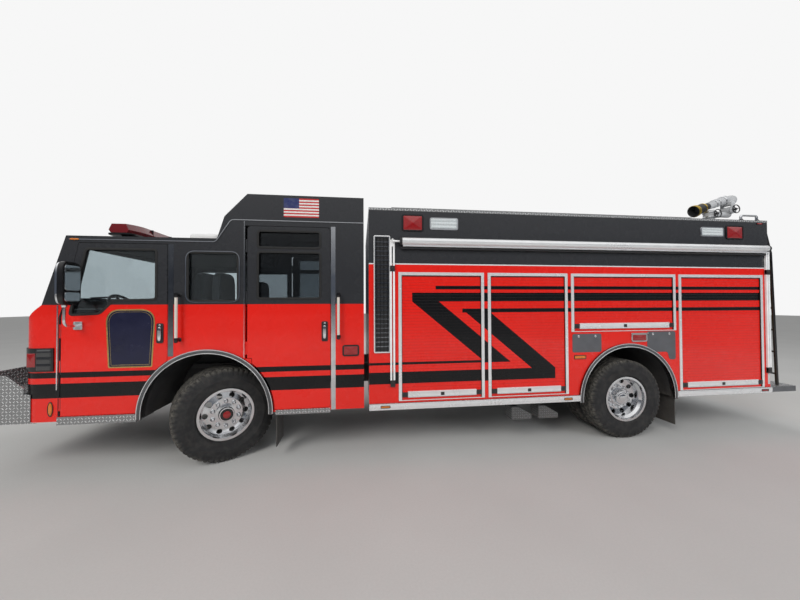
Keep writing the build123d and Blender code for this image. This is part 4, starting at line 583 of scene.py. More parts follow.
def wired(material, **links):
    """The material, with values linked to its Principled shader."""
    inputs = material.node_tree.nodes["Principled BSDF"].inputs
    for key, value in links.items():
        material.node_tree.links.new(value.socket, inputs[key.replace("_", " ")])
    return material


WELL_BLACK, SILVER = (0.012, 0.012, 0.013), (0.72, 0.73, 0.74)
PAINT_DUST, METAL_DUST = (0.33, 0.29, 0.24), (0.3, 0.27, 0.23)

# Bands of black on the red: low and high edge, start and end at the high edge, slant per metre of height, stop
STRIPES = [
    (1.040, 1.100, -1.95, 1.790, 0.0, 99.0), (0.826, 0.980, -1.95, 1.790, 0.0, 99.0),
    (1.040, 1.100, 1.790, 1.825, 0.0, 99.0), (1.079, 1.110, 1.790, 3.560, 0.0, 99.0),
    (0.850, 0.992, 1.790, 4.233, 0.0, 99.0), (1.999, 2.043, 2.650, 7.372, 0.0, 99.0),
    (1.849, 1.959, 2.355, 7.372, 0.0, 99.0), (1.709, 1.759, 2.991, 7.372, 0.0, 99.0),
    (1.079, 1.850, 2.355, 2.690, 1.21, 3.624), (0.860, 1.735, 3.010, 3.330, 1.21, 4.233),
]


def stripe_mask(place, rows):
    """1 on any of the bands."""
    mask = None
    for low, high, start, end, slant, stop in rows:
        band = group("Slanted Band", Place=place, Low=low, High=high, Start=at(start), End=at(end), Slant=slant,
                     Stop=at(stop))
        mask = mask | band if mask else band
    return mask


def inner_faces(place):
    """1 on the faces that look into the cab: across, down from the roof, and back from the nose."""
    nx, ny, nz = face_way(place)
    x, y, z = parts(place)
    across = ny * y < -0.6
    under = (nz < -0.3) * (z > 2.2)
    back = (nx > 0.5) * (x < at(-1.2))
    ahead = (nx < -0.5) * (x > at(1.5))
    return (across | under) | (back | ahead)


def paint(name, settings, belt, rows, silver_line=False, slatted=False, lined=False):
    """Gloss paint in red and charcoal with black stripes, orange peel, dust and fine wear."""
    material, place = surface(name, Coat_Roughness=0.03, Specular_IOR_Level=0.28)
    z = parts(place)[2]
    red = mix(mottle(place, 1.3, detail=4.0), settings.red, tone(settings.red, 0.93))
    flake = noise(place, 900.0, 1.0).ramp(0.45, 0.7)
    charcoal = mix(flake, settings.charcoal, tone(settings.charcoal, 1.5))
    stripes = stripe_mask(place, rows)
    well = group("Wheel Well", Place=place)
    colour = mix(well, mix(z > belt, mix(stripes, red, settings.black), charcoal), WELL_BLACK)
    gloss = 1.0 - (stripes | well) * 0.7
    if silver_line:
        colour = mix((z > belt) * (z < belt + 0.014), colour, SILVER)
    dust = group("Road Dust", Place=place, Height=1.1, Amount=settings.dust)
    colour = mix(dust, colour, PAINT_DUST)
    rough = (group("Fine Wear", Place=place, Scale=5.0, Low=0.22, High=0.32)[0] + dust * 0.5).held()
    peel = grained(place, 240.0, 0.03, 1.0)
    if lined:
        inside = inner_faces(place)
        felt = group("Weave", Place=place, Pitch=0.006).ramp(-1.0, 1.0)
        colour = mix(inside, colour, mix(felt, (0.065, 0.066, 0.070), (0.11, 0.11, 0.115)))
        rough = (rough + inside * 0.5).held()
        gloss = gloss * (1.0 - inside)
    if slatted:
        height, gap = group("Slats", Place=place, Pitch=0.0365)
        # painted shade: the gaps between the slats are darkened towards a dark red
        colour = mix(gap * 0.6, colour, (0.015, 0.006, 0.006))
        peel = bump(height, 0.5, 0.004, peel)
    return wired(material, Base_Color=colour, Roughness=rough, Normal=peel, Coat_Weight=gloss * 0.5)


def bright(name, colour, low, high, metallic=1.0, scale=9.0, dust=0.2, dust_height=1.2, pitch=None, brushed=None):
    """Bare metal: varied roughness, a little dust low down; pitch adds a raised diamond tread with painted shade."""
    material, place = surface(name, Metallic=metallic)
    rough, worn = group("Fine Wear", Place=place, Scale=scale, Low=low, High=high)
    grime = group("Road Dust", Place=place, Height=dust_height, Amount=dust)
    base = mix(worn, colour, tone(colour, 0.82))
    normal = grained(place, 70.0, 0.05)
    if brushed:
        lines = noise(place, 40.0, 3.0, stretch=brushed)
        base = mix(lines.ramp(0.3, 0.7), base, tone(colour, 0.86))
        normal = bump(lines, 0.12, FINE)
    if pitch:
        tread = group("Diamond Plate", Flat=group("Face Plane", Place=place, Pitch=pitch))
        # painted shade: the flat between the raised lozenges is darkened to a third of the metal's colour, so the
        # lozenges read as lit
        base = mix(tread, tone(colour, 0.34), base)
        normal = bump(tread, 1.0, 0.005, normal)
    return wired(material, Base_Color=mix(grime, base, METAL_DUST), Roughness=(rough + grime * 0.5).held(),
                 Normal=normal)


def dull(name, colour, low, high, dust=0.35, grain=300.0, grain_strength=0.2):
    """Moulded plastic, rubber or chassis paint: fine grain, mottled colour and dust."""
    material, place = surface(name, Metallic=0.0)
    rough, worn = group("Fine Wear", Place=place, Scale=7.0, Low=low, High=high)
    grime = group("Road Dust", Place=place, Height=1.2, Amount=dust)
    base = mix(grime, mix(worn, colour, tone(colour, 1.35, 0.004)), METAL_DUST)
    return wired(material, Base_Color=base, Roughness=rough, Normal=grained(place, grain, grain_strength))


def glass(name, colour):
    """Window glass with faint smears in its gloss."""
    material, place = surface(name, colour, Transmission_Weight=1.0, IOR=1.45)
    return wired(material, Roughness=noise(place, 2.6, 5.0).ramp(0.45, 0.8, 0.02, 0.1))


def lens(name, colour, ribs=110.0, coat=1.0):
    """A lamp's lens: coloured clear plastic whose ribbed inside is drawn in painted highlight and shade."""
    material, place = surface(name, Coat_Weight=coat, Coat_Roughness=0.02)
    x, y, _ = parts(group("Face Plane", Place=place, Pitch=1.0 / ribs))
    shade = ((x * FULL_TURN).sine() * (y * FULL_TURN).sine()).ramp(-0.8, 0.8)
    # painted highlight and painted shade: the colour is lighter and darker in turn across the ribs
    return wired(material, Base_Color=mix(shade, tone(colour, 0.45), tone(colour, 1.15)),
                 Roughness=mottle(place, 30.0, 0.06, 0.2), Normal=bump(shade, 0.35, FINE))


def headlamp():
    """A headlamp seen through its clear front: a bulb's cap, a bowl in painted shade and a bright faceted rim."""
    material, place = surface("Headlamp", Coat_Weight=1.0, Coat_Roughness=0.01, Metallic=0.7)
    _, y, z = parts(place)
    y, z = abs(abs(y) - 0.865) - 0.110, z - 1.2385
    reach = (y * y + z * z).root()
    facet = z.arctan(y).sine_wave(12.0)
    # painted shade: the bowl is painted dark towards its middle and bright towards its rim
    bowl = mix(reach.ramp(0.018, 0.066), (0.05, 0.055, 0.06), (0.62, 0.64, 0.66))
    # painted shade: every other facet of the bowl is darkened
    bowl = mix(facet * 0.55, bowl, (0.10, 0.11, 0.12))
    return wired(material, Base_Color=mix(reach < 0.016, bowl, (0.75, 0.77, 0.8)),
                 Roughness=facet.ramp(0.0, 1.0, 0.12, 0.3), Normal=bump(facet, 0.5, 0.002))


def radiator():
    """Fins of the radiator behind the grille, in painted shade: fine upright fins crossed by flat tubes."""
    material, place = surface("Radiator core", Metallic=0.3)
    _, y, z = parts(place)
    height = y.sine_wave(500.0) * z.sine_wave(180.0)
    # near black, and darker still between the fins: the radiator's own black, with painted shade of the recess behind
    # the grille
    return wired(material, Base_Color=mix(height, (0.004, 0.004, 0.005), (0.035, 0.036, 0.038)),
                 Roughness=mottle(place, 20.0, 0.5, 0.75), Normal=bump(height, 0.6, 0.002))


def rear_wall(settings):
    """Body paint whose rear face carries slanting reflective bands in red and yellow."""
    material, place = surface("Rear wall", Coat_Weight=0.4, Coat_Roughness=0.1)
    x, y, z = parts(place)
    band = ((abs(y) + z) * 3.3).fract() > 0.5
    cells = noise(place, 700.0, 1.0).ramp(0.4, 0.6, 0.85, 1.0)
    bands = mix(cells, (0.3, 0.1, 0.02), mix(band, (0.6, 0.015, 0.012), (0.68, 0.62, 0.03)))
    inner = mix(mottle(place, 8.0), (0.5, 0.51, 0.52), (0.62, 0.63, 0.64))
    dust = group("Road Dust", Place=place, Height=1.6, Amount=settings.dust)
    return wired(material, Base_Color=mix(dust, mix(x > at(7.514), inner, bands), PAINT_DUST),
                 Roughness=mottle(place, 12.0, 0.25, 0.45),
                 Normal=grained(place, 240.0, 0.06, 1.0))


def pennant():
    """Small decal: red and white bands with a blue corner."""
    material, place = surface("Banded decal", Coat_Weight=0.3)
    x, _, z = parts(place)
    base = mix(((z - 2.845) * 29.0).fract() > 0.5, (0.5, 0.02, 0.02), (0.75, 0.75, 0.73))
    base = mix((x < at(1.01)) * (z > 2.95), base, (0.02, 0.03, 0.12))
    base = mix(noise(place, 25.0).ramp(0.5, 0.8, 0.0, 0.2), base, (0.3, 0.3, 0.3))
    return wired(material, Base_Color=base, Roughness=mottle(place, 12.0, 0.25, 0.45))


def tyre_rubber(settings):
    """Dusty rubber: browner and paler in the grooves and near the ground, matt with a slight sheen."""
    material, place = surface("Tyre rubber", Specular_IOR_Level=0.35)
    clouds = noise(place, 6.0, 6.0).ramp(0.3, 0.75)
    base = mix(clouds, settings.colour, tone(settings.colour, 1.6, 0.003))
    base = mix(noise(place, 16.0, 5.0).ramp(0.42, 0.78, 0.0, 0.35), base, (0.085, 0.08, 0.072))
    tread = place.feed("ShaderNodeAttribute", {}, "Fac", attribute_name="tread")
    dust = tread * noise(place, 26.0, 6.0).ramp(0.38, 0.7, 0.05, 0.8)
    return wired(material, Base_Color=mix(dust, base, (0.16, 0.15, 0.13)),
                 Roughness=clouds.ramp(0.0, 1.0, 0.55, 0.85), Normal=grained(place, 420.0, 0.35))


def seat_cloth(settings):
    """Hard-wearing woven seat cloth."""
    material, place = surface("Woven cloth", Sheen_Weight=0.25, Sheen_Roughness=0.5)
    threads = group("Weave", Place=place, Pitch=0.005)
    base = mix(threads.ramp(-1.0, 1.0), tone(settings.colour, 0.6), tone(settings.colour, 1.5))
    base = mix(noise(place, 9.0, 4.0).ramp(0.4, 0.8, 0.0, 0.4), base, (0.1, 0.1, 0.1))
    return wired(material, Base_Color=base, Roughness=mottle(place, 20.0, 0.75, 0.95),
                 Normal=bump(threads, 0.5, FINE))


def ribbed_grip():
    """Pale ribbed grip of the grab rails, darker in the grooves between the ribs as painted shade."""
    material, place = surface("Ribbed grip", Specular_IOR_Level=0.4)
    rib = parts(place)[2].sine_wave(520.0)
    # painted shade: the grooves between the ribs are darker than the crests
    return wired(material, Base_Color=mix(rib, (0.5, 0.48, 0.43), (0.82, 0.79, 0.72)),
                 Roughness=mottle(place, 20.0, 0.4, 0.6), Normal=bump(rib, 0.6, FINE))


# Slots and the finishes that go in them
SLOTS = {finish: slot for slot, finishes in {
    "black_paint": "navy", "black_plastic": "plastic gloss_black seal radiator", "bright_chrome": "chrome",
    "monitor_grey": "monitor", "polished_steel": "polished dark_polish gold mirror",
    "red_lens": "red_lens dark_red_lens amber_lens", "red_paint": "rear_wall pennant", "safety_yellow": "brass",
    "satin_aluminium": "satin tube white_trim hatch grip", "seat_fabric": "cloth", "treadplate": "treadplate",
    "tyre_rubber": "rubber", "window_glass": "clear_lens smoked headlamp",
}.items() for finish in finishes.split()}
M = {}      # every finish, by the name the pieces ask for

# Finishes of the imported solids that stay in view; * stands for left and right
NODE_FINISH = {
    "arch": "arch_trims", "body_paint": "body_sides", "cast": "engine_block", "chock": "wheel_chocks",
    "chrome": "grille", "cloth": "crew_seats", "dark_polish": "louvres", "floor_mat": "cab_floor",
    "grip": "grab_rails",
    "rear_wall": "body_walls", "satin": "shutter_frames", "shutter_paint": "shutters",
    "cab_paint": "cab_shell front_door_* rear_door_*",
    "chassis": "frame front_axle rear_axle knuckle_* tanks_and_pump tie_rod tow_eyes wheel_arches",
    "glass": "cab_glass front_door_glass_*", "tint": "rear_door_glass_*",
    "gloss_black": "headlamps light_bar mirror_* rear_ladder warning_lamps",
    "monitor": "monitor_barrel monitor_base monitor_swivel", "plastic": "dashboard awning",
    "rubber": "front_tyre_* rear_tyres_*", "wheel": "front_wheel_* rear_wheels_*",
    "treadplate": "bed_cover_* front_bumper roof_deck steps_and_rails",
}


def make_finishes(settings):
    """Fills M with every finish."""
    p = settings.paint
    M.update(
        cab_paint=paint("Cab paint", p, p.cab_belt, STRIPES[:2], lined=True),
        body_paint=paint("Body paint", p, p.body_belt, STRIPES[2:], silver_line=True),
        shutter_paint=paint("Shutter paint", p, p.body_belt, STRIPES[3:], slatted=True),
        treadplate=bright("Tread plate", (0.84, 0.85, 0.86), 0.18, 0.34, metallic=0.55, pitch=0.034, dust=0.12),
        satin=bright("Satin aluminium", (0.92, 0.93, 0.94), 0.18, 0.3, metallic=0.35, dust=0.06,
                     brushed=(1.0, 1.0, 30.0)),
        tube=bright("Silver awning tube", (0.9, 0.91, 0.92), 0.22, 0.3, metallic=0.5, scale=1.5, dust=0.0),
        polished=bright("Polished steel", (0.83, 0.84, 0.86), 0.07, 0.2),
        wheel=bright("Polished wheel", (0.88, 0.89, 0.91), 0.06, 0.22, scale=12.0, dust=0.45, dust_height=0.75),
        chrome=bright("Chrome", (0.9, 0.91, 0.93), 0.04, 0.12),
        brass=bright("Nozzle band", (0.72, 0.5, 0.1), 0.2, 0.35, dust=0.0),
        chock=bright("Chock plate", (0.34, 0.35, 0.36), 0.3, 0.5, metallic=0.6, pitch=0.03, dust=0.4),
        gold=bright("Gold rim", (0.75, 0.55, 0.2), 0.2, 0.35, dust=0.0),
        hatch=bright("Grey hatch", (0.17, 0.175, 0.19), 0.35, 0.5, metallic=0.5),
        mirror=bright("Mirror glass", (0.9, 0.91, 0.93), 0.01, 0.05, dust=0.0),
        dark_polish=bright("Dark polished strip", (0.25, 0.26, 0.28), 0.1, 0.25, dust=0.1),
        arch=bright("Arch trim", (0.16, 0.165, 0.175), 0.10, 0.22, dust=0.05),
        white_trim=dull("White trim", (0.78, 0.79, 0.8), 0.25, 0.4, dust=0.15, grain_strength=0.05),
        chassis=dull("Chassis black", (0.02, 0.02, 0.022), 0.35, 0.6, dust=0.5),
        cast=dull("Cast metal", (0.12, 0.12, 0.12), 0.5, 0.75, grain=120.0),
        plastic=dull("Black plastic", (0.018, 0.018, 0.019), 0.35, 0.55, dust=0.2),
        gloss_black=dull("Gloss black", (0.008, 0.008, 0.009), 0.08, 0.2, dust=0.15, grain_strength=0.03),
        seal=dull("Window seal", (0.012, 0.012, 0.012), 0.5, 0.7, dust=0.1),
        floor_mat=dull("Cab floor", (0.05, 0.05, 0.052), 0.6, 0.8, dust=0.2),
        monitor=dull("Monitor grey", (0.42, 0.43, 0.44), 0.3, 0.5, dust=0.0, grain=160.0),
        navy=dull("Navy panel", (0.005, 0.006, 0.028), 0.15, 0.3, dust=0.1, grain_strength=0.02),
        glass=glass("Window glass", (0.62, 0.68, 0.7)),
        tint=glass("Tinted glass", (0.2, 0.23, 0.25)),
        red_lens=lens("Red lens", (0.36, 0.006, 0.008), ribs=70.0),
        dark_red_lens=lens("Dark red lens", (0.19, 0.003, 0.008), ribs=40.0, coat=0.35),
        smoked=lens("Smoked lens", (0.03, 0.03, 0.033), ribs=50.0),
        clear_lens=lens("Clear lens", (0.72, 0.78, 0.8), ribs=60.0),
        amber_lens=lens("Amber lens", (0.8, 0.22, 0.01)),
        headlamp=headlamp(), radiator=radiator(), rear_wall=rear_wall(p), pennant=pennant(),
        rubber=tyre_rubber(settings.tyres), cloth=seat_cloth(settings.seats), grip=ribbed_grip())


def dress_nodes():
    """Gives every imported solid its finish."""
    finishes = {name.replace("*", hand): finish for finish, names in NODE_FINISH.items()
                for name in names.split() for hand, _ in HANDS}
    for name, node in frame["nodes"].items():
        node.data.materials.clear()
        node.data.materials.append(M[finishes[name]])
        node.data.polygons.foreach_set("material_index", np.zeros(len(node.data.polygons), np.int32))


# Pieces

class Fitting(bpy.types.Operator):
    """Shared by the pieces: registers, undoes, and finds the settings."""
    bl_options = {"REGISTER", "UNDO"}

    def execute(self, context):
        self.build(context.scene.fire_engine)
        return {"FINISHED"}


class FIRE_OT_finishes(Fitting):
    """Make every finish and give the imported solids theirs"""
    bl_idname = "fire.finishes"
    bl_label = "Finishes"

    def build(self, settings):
        make_groups()
        make_finishes(settings)
        dress_nodes()


def wheel_frame(side, rear):
    """Origin and outward axis of a wheel; the front pair are turned about their kingpins."""
    if rear:
        return np.array([REAR_AXLE, 0.0, JOINTS["rear_wheels_left_spin"][2]]), (0.0, side, 0.0)
    outward = (-side * math.sin(STEER), side * math.cos(STEER), 0.0)
    return np.array([0.0, side * 0.85, JOINTS["front_wheel_left_spin"][2]]), outward


def tyre_form(radius, width, middle, settings):
    """Tyre about Z as one closed surface: a section of bead, wall, shoulder and tread turned round the axle; the
    tread's radius drops by the groove depth where a block pattern in turn angle and width says so."""
    half, bead_at = width / 2, 0.15 if width > 0.35 else 0.112
    wall = [(0.286, bead_at), (0.3, bead_at)]
    wall += [(r, half + z) for r, z in (
        (0.312, -0.024), (0.322, -0.012), (0.33, -0.0125), (0.365, 0.0), (0.40, -0.001), (0.405, 0.0015),
        (0.413, 0.0015), (0.418, -0.001), (radius - 0.1, 0.0), (radius - 0.075, -0.004), (radius - 0.05, -0.010),
        (radius - 0.028, -0.017), (radius - 0.012, -0.028), (radius - 0.004, -0.042))]
    across = np.linspace(half - 0.052, -half + 0.052, 31)
    tread = np.stack([radius - 0.006 * (across / half) ** 2, across], axis=-1)
    r, z = np.concatenate([wall, tread, np.array(wall[::-1]) * (1, -1)]).T[:, None]
    turns = settings.blocks * 8
    step = np.arange(turns)[:, None] % 8
    angle = np.arange(turns)[:, None] * (2 * np.pi / turns)
    place = z / half
    lug = (np.abs(place) > 0.66) & (step >= 5)
    slit = (np.abs(place) < 0.6) & ((step + np.round(place * 6)) % 8 == 0)
    ribs = np.minimum.reduce([np.abs(np.abs(place) - rib) for rib in (0.2, 0.6)]) < 0.035
    reach = r - settings.depth * (r > radius - 0.055) * np.clip(lug * 1.0 + slit * 0.5 + ribs * 1.0, 0, 1)
    level = np.broadcast_to(z + middle, reach.shape)
    points = np.stack([reach * np.cos(angle), reach * np.sin(angle), level], axis=-1)
    return points.reshape(-1, 3), grid_faces(turns, r.size, wrap_rows=True, wrap_columns=True)


def mark_tread(piece, origin, outward, radius):
    """Stores how far each point lies out on the tread: 0 on the wall and 1 at the full radius."""
    mesh = piece.data
    points = np.empty(len(mesh.vertices) * 3, np.float32)
    mesh.vertices.foreach_get("co", points)
    reach = np.linalg.norm(np.cross(points.reshape(-1, 3) - SHIFT - origin, outward), axis=1)
    mark = np.clip((reach - radius + 0.045) / 0.03, 0, 1).astype(np.float32)
    mesh.attributes.new("tread", "FLOAT", "POINT").data.foreach_set("value", mark)


class FIRE_OT_tyres(Fitting):
    """Tyres with ribbed tread and shoulder blocks"""
    bl_idname = "fire.tyres"
    bl_label = "Tyres"

    def build(self, settings):
        for hand, side in HANDS:
            for name, body, node, radius, width, middles in (
                    ("tyre_front", "front_wheel", "front_tyre", 0.54, 0.414, (0.18,)),
                    ("tyres_rear", "rear_wheels", "rear_tyres", 0.525, 0.296, (0.74, 1.085))):
                origin, outward = wheel_frame(side, len(middles) > 1)
                tyres = [tyre_form(radius, width, middle, settings.tyres) for middle in middles]
                piece = make(f"{name}_{hand}", [(placed(points, origin, outward), faces) for points, faces in tyres],
                             "rubber", f"{body}_{hand}_body", stands_for=[f"{node}_{hand}"])
                mark_tread(piece, origin, outward, radius)


# Wheels: name, body, hub face from the wheel's origin, hub radius, hub height, finish of the cap and of its core
WHEELS = [("front", "front_wheel", 0.2855, 0.078, 0.075, "gloss_black", "red_lens", "red_paint"),
          ("rear", "rear_wheels", 1.050, 0.088, 0.101, "chrome", "chrome", "bright_chrome")]
NUT_COVER = [(0.021, -0.006), (0.021, -0.003), (0.017, 0.0), (0.0165, 0.022), (0.014, 0.03), (0.008, 0.035),
             (TIP, 0.036)]
NUT_SCALE, NUT_CIRCLE, NUTS = 1.25, 0.1435, 10


class FIRE_OT_hubs(Fitting):
    """Wheel nuts under domed covers, hub caps and their cores"""
    bl_idname = "fire.hubs"
    bl_label = "Wheel nuts and hubs"

    def build(self, settings):
        for name, body, disc, hub, height, cap, core, core_slot in WHEELS:
            top = disc + height
            ring = [(hub + 0.0015, disc + 0.028), (hub + 0.006, disc + 0.03), (hub + 0.006, top - 0.022),
                    (hub + 0.002, top - 0.012), (hub - 0.014, top - 0.0015), (hub - 0.03, top + 0.001),
                    (hub - 0.034, top + 0.0005)]
            dome = [(hub - 0.036, top - 0.002), (hub - 0.038, top + 0.004), (hub - 0.05, top + 0.008),
                    (0.012, top + 0.011), (TIP, top + 0.0112)]
            turns = [2 * math.pi * (i + 0.5) / NUTS for i in range(NUTS)]
            for hand, side in HANDS:
                origin, outward = wheel_frame(side, name == "rear")
                seats = [(NUT_CIRCLE * math.cos(turn), NUT_CIRCLE * math.sin(turn), disc + 0.0075) for turn in turns]
                nuts = [lathe(np.array(NUT_COVER) * NUT_SCALE, placed(seat, origin, outward), outward, 12)
                        for seat in seats]
                place, on = f"{name}_{hand}", f"{body}_{hand}_body"
                make(f"nuts_{place}", nuts, "chrome", on, "polished_aluminium")
                make(f"hub_cap_{place}", [lathe(ring, origin, outward, 40)], cap, on)
                make(f"hub_core_{place}", [lathe(dome, origin, outward, 32)], core, on, core_slot)


# Side windows: name, body and outline
WINDOWS = [
    ("front", "front_door_{hand}_body", [(-0.533, 1.880), (-0.965, 1.872), (-1.100, 1.728), (-1.392, 1.716),
                                         (-1.238, 2.436), (-0.533, 2.436)]),
    ("middle", CHASSIS, rect(-0.211, 0.330, 1.864, 2.413)),
    ("rear_low", "rear_door_{hand}_body", rect(0.547, 1.253, 1.889, 2.431)),
    ("rear_high", "rear_door_{hand}_body", rect(0.547, 1.253, 2.482, 2.677)),
]
# The windscreen's foot, and how far it leans back and rises from there
SCREEN_FOOT, SCREEN_BACK, SCREEN_RISE = np.array([-1.659, 0.0, 1.824]), 0.226, 0.754


class FIRE_OT_window_seals(Fitting):
    """Rubber seals of the side windows and windscreen, the bright ring of the middle window and the wipers"""
    bl_idname = "fire.window_seals"
    bl_label = "Window seals"

    def build(self, settings):
        for name, body, corners in WINDOWS:
            path = closed_path(corners, 0.034)
            make_twins(f"seal_{name}", [moulding(path, bead(0.026, 0.005), closed=True)], "seal", body)
            if name == "middle":
                ring = closed_path(rect(-0.226, 0.345, 1.849, 2.428), 0.10, 10)
                make_twins("window_ring", [moulding(ring, bead(0.012, 0.009), closed=True)], "chrome")
            make_twins(f"channel_{name}", [moulding(path, bead(0.012, 0.026), 1.226, closed=True)], "seal", body)
        length = math.hypot(SCREEN_BACK, SCREEN_RISE)
        slope = np.array([SCREEN_BACK, 0.0, SCREEN_RISE]) / length
        out = np.array([-slope[2], 0.0, slope[0]])
        path = closed_path(rect(-1.085, 1.085, 0.07, length - 0.09), 0.06, 10)
        points, faces = moulding(path, bead(0.034, 0.006), 0.0, closed=True)
        points = SCREEN_FOOT + points[:, :1] * (0, 1, 0) + points[:, 2:] * slope - points[:, 1:2] * out
        make("seal_windscreen", [(points, faces)], "seal")
        arms, way = [], np.array([0.0, 0.33, 0.0]) + slope * 0.02
        for hinge in (-0.85, 0.15):
            pivot = SCREEN_FOOT + (0, hinge, 0) + slope * 0.03 + out * 0.016
            tip = pivot + slope * 0.07 + (0, 0.46, 0) + out * 0.01
            bend = open_path([pivot, pivot + out * 0.03, (pivot + tip) / 2 + out * 0.022, tip], 0.03)
            blade = [tip - way * 0.75 - out * 0.004, tip, tip + way * 0.75 - out * 0.004]
            arms += [pipe(bend, 0.007, 10), pipe(blade, 0.0075, 10, squash=1.6),
                     lathe([(0.026, -0.012), (0.026, 0.006), (0.018, 0.014), (TIP, 0.016)], pivot, out, 20)]
        make("wipers", arms, "plastic")


class FIRE_OT_cab_trim(Fitting):
    """Bright mouldings: drip rail, nose strip, pillar strips, seams, arch edges and the body's top caps"""
    bl_idname = "fire.cab_trim"
    bl_label = "Cab trim"

    def build(self, settings):
        rail = open_path([(-1.40, 2.538), (0.086, 2.538), (0.250, 2.79), (0.29, 2.797), (1.763, 2.797)], 0.03)
        make_pair("drip_rail", [moulding(rail, bead(0.012, 0.009))], "polished")
        strips = [moulding([(d, low), (d, high)], bead(width, height)) for d, low, high, width, height in (
            (-1.505, 0.914, 1.82, 0.013, 0.006), (0.397, 1.21, 2.788, 0.007, 0.003),
            (1.4035, 0.575, 2.744, 0.052, 0.0025), (-0.382, 1.245, 2.501, 0.056, 0.0025))]
        make_pair("upright_strips", strips[:3], "polished")
        make_pair("pillar_strips", strips[3:], "dark_polish")
        sweep = np.linspace(-0.045, math.pi + 0.045, 97)
        edges = []
        for x, z in ARCHES:
            for radius, width in ((ARCH_R + 0.004, 0.008), (ARCH_R + ARCH_BAND - 0.005, 0.010)):
                arc = np.stack([x + radius * np.cos(sweep), z + radius * np.sin(sweep)], axis=-1)
                edges.append(moulding(arc, bead(width, 0.0022), SIDE_Y + ARCH_OUT))
        make_pair("arch_edges", edges, "chrome")
        cap = [(SKIN, 2.962), (-1.2535, 2.9625), (-1.2535, 2.9925), (SKIN, 2.9925)]
        make_pair("body_top_caps", [prism(cap, "X", 1.827, 7.513)], "treadplate")


class FIRE_OT_rail_faces(Fitting):
    """Plain bright faces of the rub rails and the dark sides of the tailboard"""
    bl_idname = "fire.rail_faces"
    bl_label = "Rub rails and tailboard"

    def build(self, settings):
        section = [(-0.036, 0.0003), (-0.036, 0.0012), (-0.012, 0.0022), (-0.009, 0.0034), (0.020, 0.0034),
                   (0.023, 0.0022), (0.036, 0.0012), (0.036, 0.0003)]
        rails = [moulding([(start, 0.5825), (end, 0.5825)], section, SIDE_Y + RAIL_OUT)
                 for start, end in ((1.828, 4.560), (6.004, 7.512))]
        make_pair("rub_rail_faces", rails, "satin")
        make_pair("tailboard_sides", [boxes((7.520, 7.943, -1.2525, SKIN, 0.548, 0.617))], "hatch", bevel=0.001)


class FIRE_OT_handles(Fitting):
    """Door handles, grab rails with ribbed grips on dark stand-offs, and the roof's bright rails"""
    bl_idname = "fire.handles"
    bl_label = "Handles and rails"

    def build(self, settings):
        for name, d, z0, z1 in (("front", -0.490, 1.395, 1.616), ("rear", 1.304, 1.384, 1.620)):
            body = f"{name}_door_{{hand}}_body"
            bezel = prism(closed_path(rect(d - 0.036, d + 0.036, z0, z1), 0.02), "Y", -1.259, SKIN)
            make_twins(f"handle_bezel_{name}", [bezel], "plastic", body, bevel=0.003)
            paddle = soft_box((d, -1.2665, (z0 + z1) / 2 - 0.008), (0.018, 0.0085, 0.078), 3.5, 20, 28)
            lock = lathe([(0.012, 0.0), (0.012, 0.005), (0.009, 0.008), (TIP, 0.008)], (d, -1.2585, z1 - 0.022), OUT)
            make_twins(f"handle_{name}", [paddle, lock], "chrome", body)
        grips, posts, y = [], [], -1.316
        end = [(TIP, 0.0), (0.012, 0.001), (0.0185, 0.006), (0.0195, 0.03), (0.0195, 0.052), (0.017, 0.056),
               (TIP, 0.056)]
        for d, z0, z1 in ((-0.292, 1.400, 1.958), (1.468, 1.405, 1.958)):
            grips.append(pipe([(d, y, z0 + 0.05 + (z1 - z0 - 0.1) * i / 12) for i in range(13)], 0.0158, 20))
            for z, way in ((z0, 1), (z1, -1)):
                stem = [(d, out, z + way * 0.03) for out in (y + 0.012, -1.285, -1.262, -1.2505)]
                posts += [lathe(end, (d, y, z), (0, 0, way)), pipe(stem, [0.0115, 0.0125, 0.015, 0.025], 20)]
        pair = partial(make_pair, stands_for=["grab_rails"])
        pair("grab_grips", grips, "grip")
        pair("grab_posts", posts, "gloss_black")
        fore, aft = 7.162, 7.428
        rail = [(fore, -1.19, 3.006), (fore, -1.19, 3.077), (aft, -1.19, 3.077), (aft, -1.19, 3.006)]
        pair("top_rails", [pipe(open_path(rail, 0.035), 0.0155, 18)], "chrome")
        foot = [(0.034, 0.0005), (0.034, 0.008), (0.026, 0.016), (0.02, 0.028), (TIP, 0.029)]
        pair("top_rail_feet", [lathe(foot, (d, -1.19, 2.9925), UP) for d in (fore, aft)], "plastic")


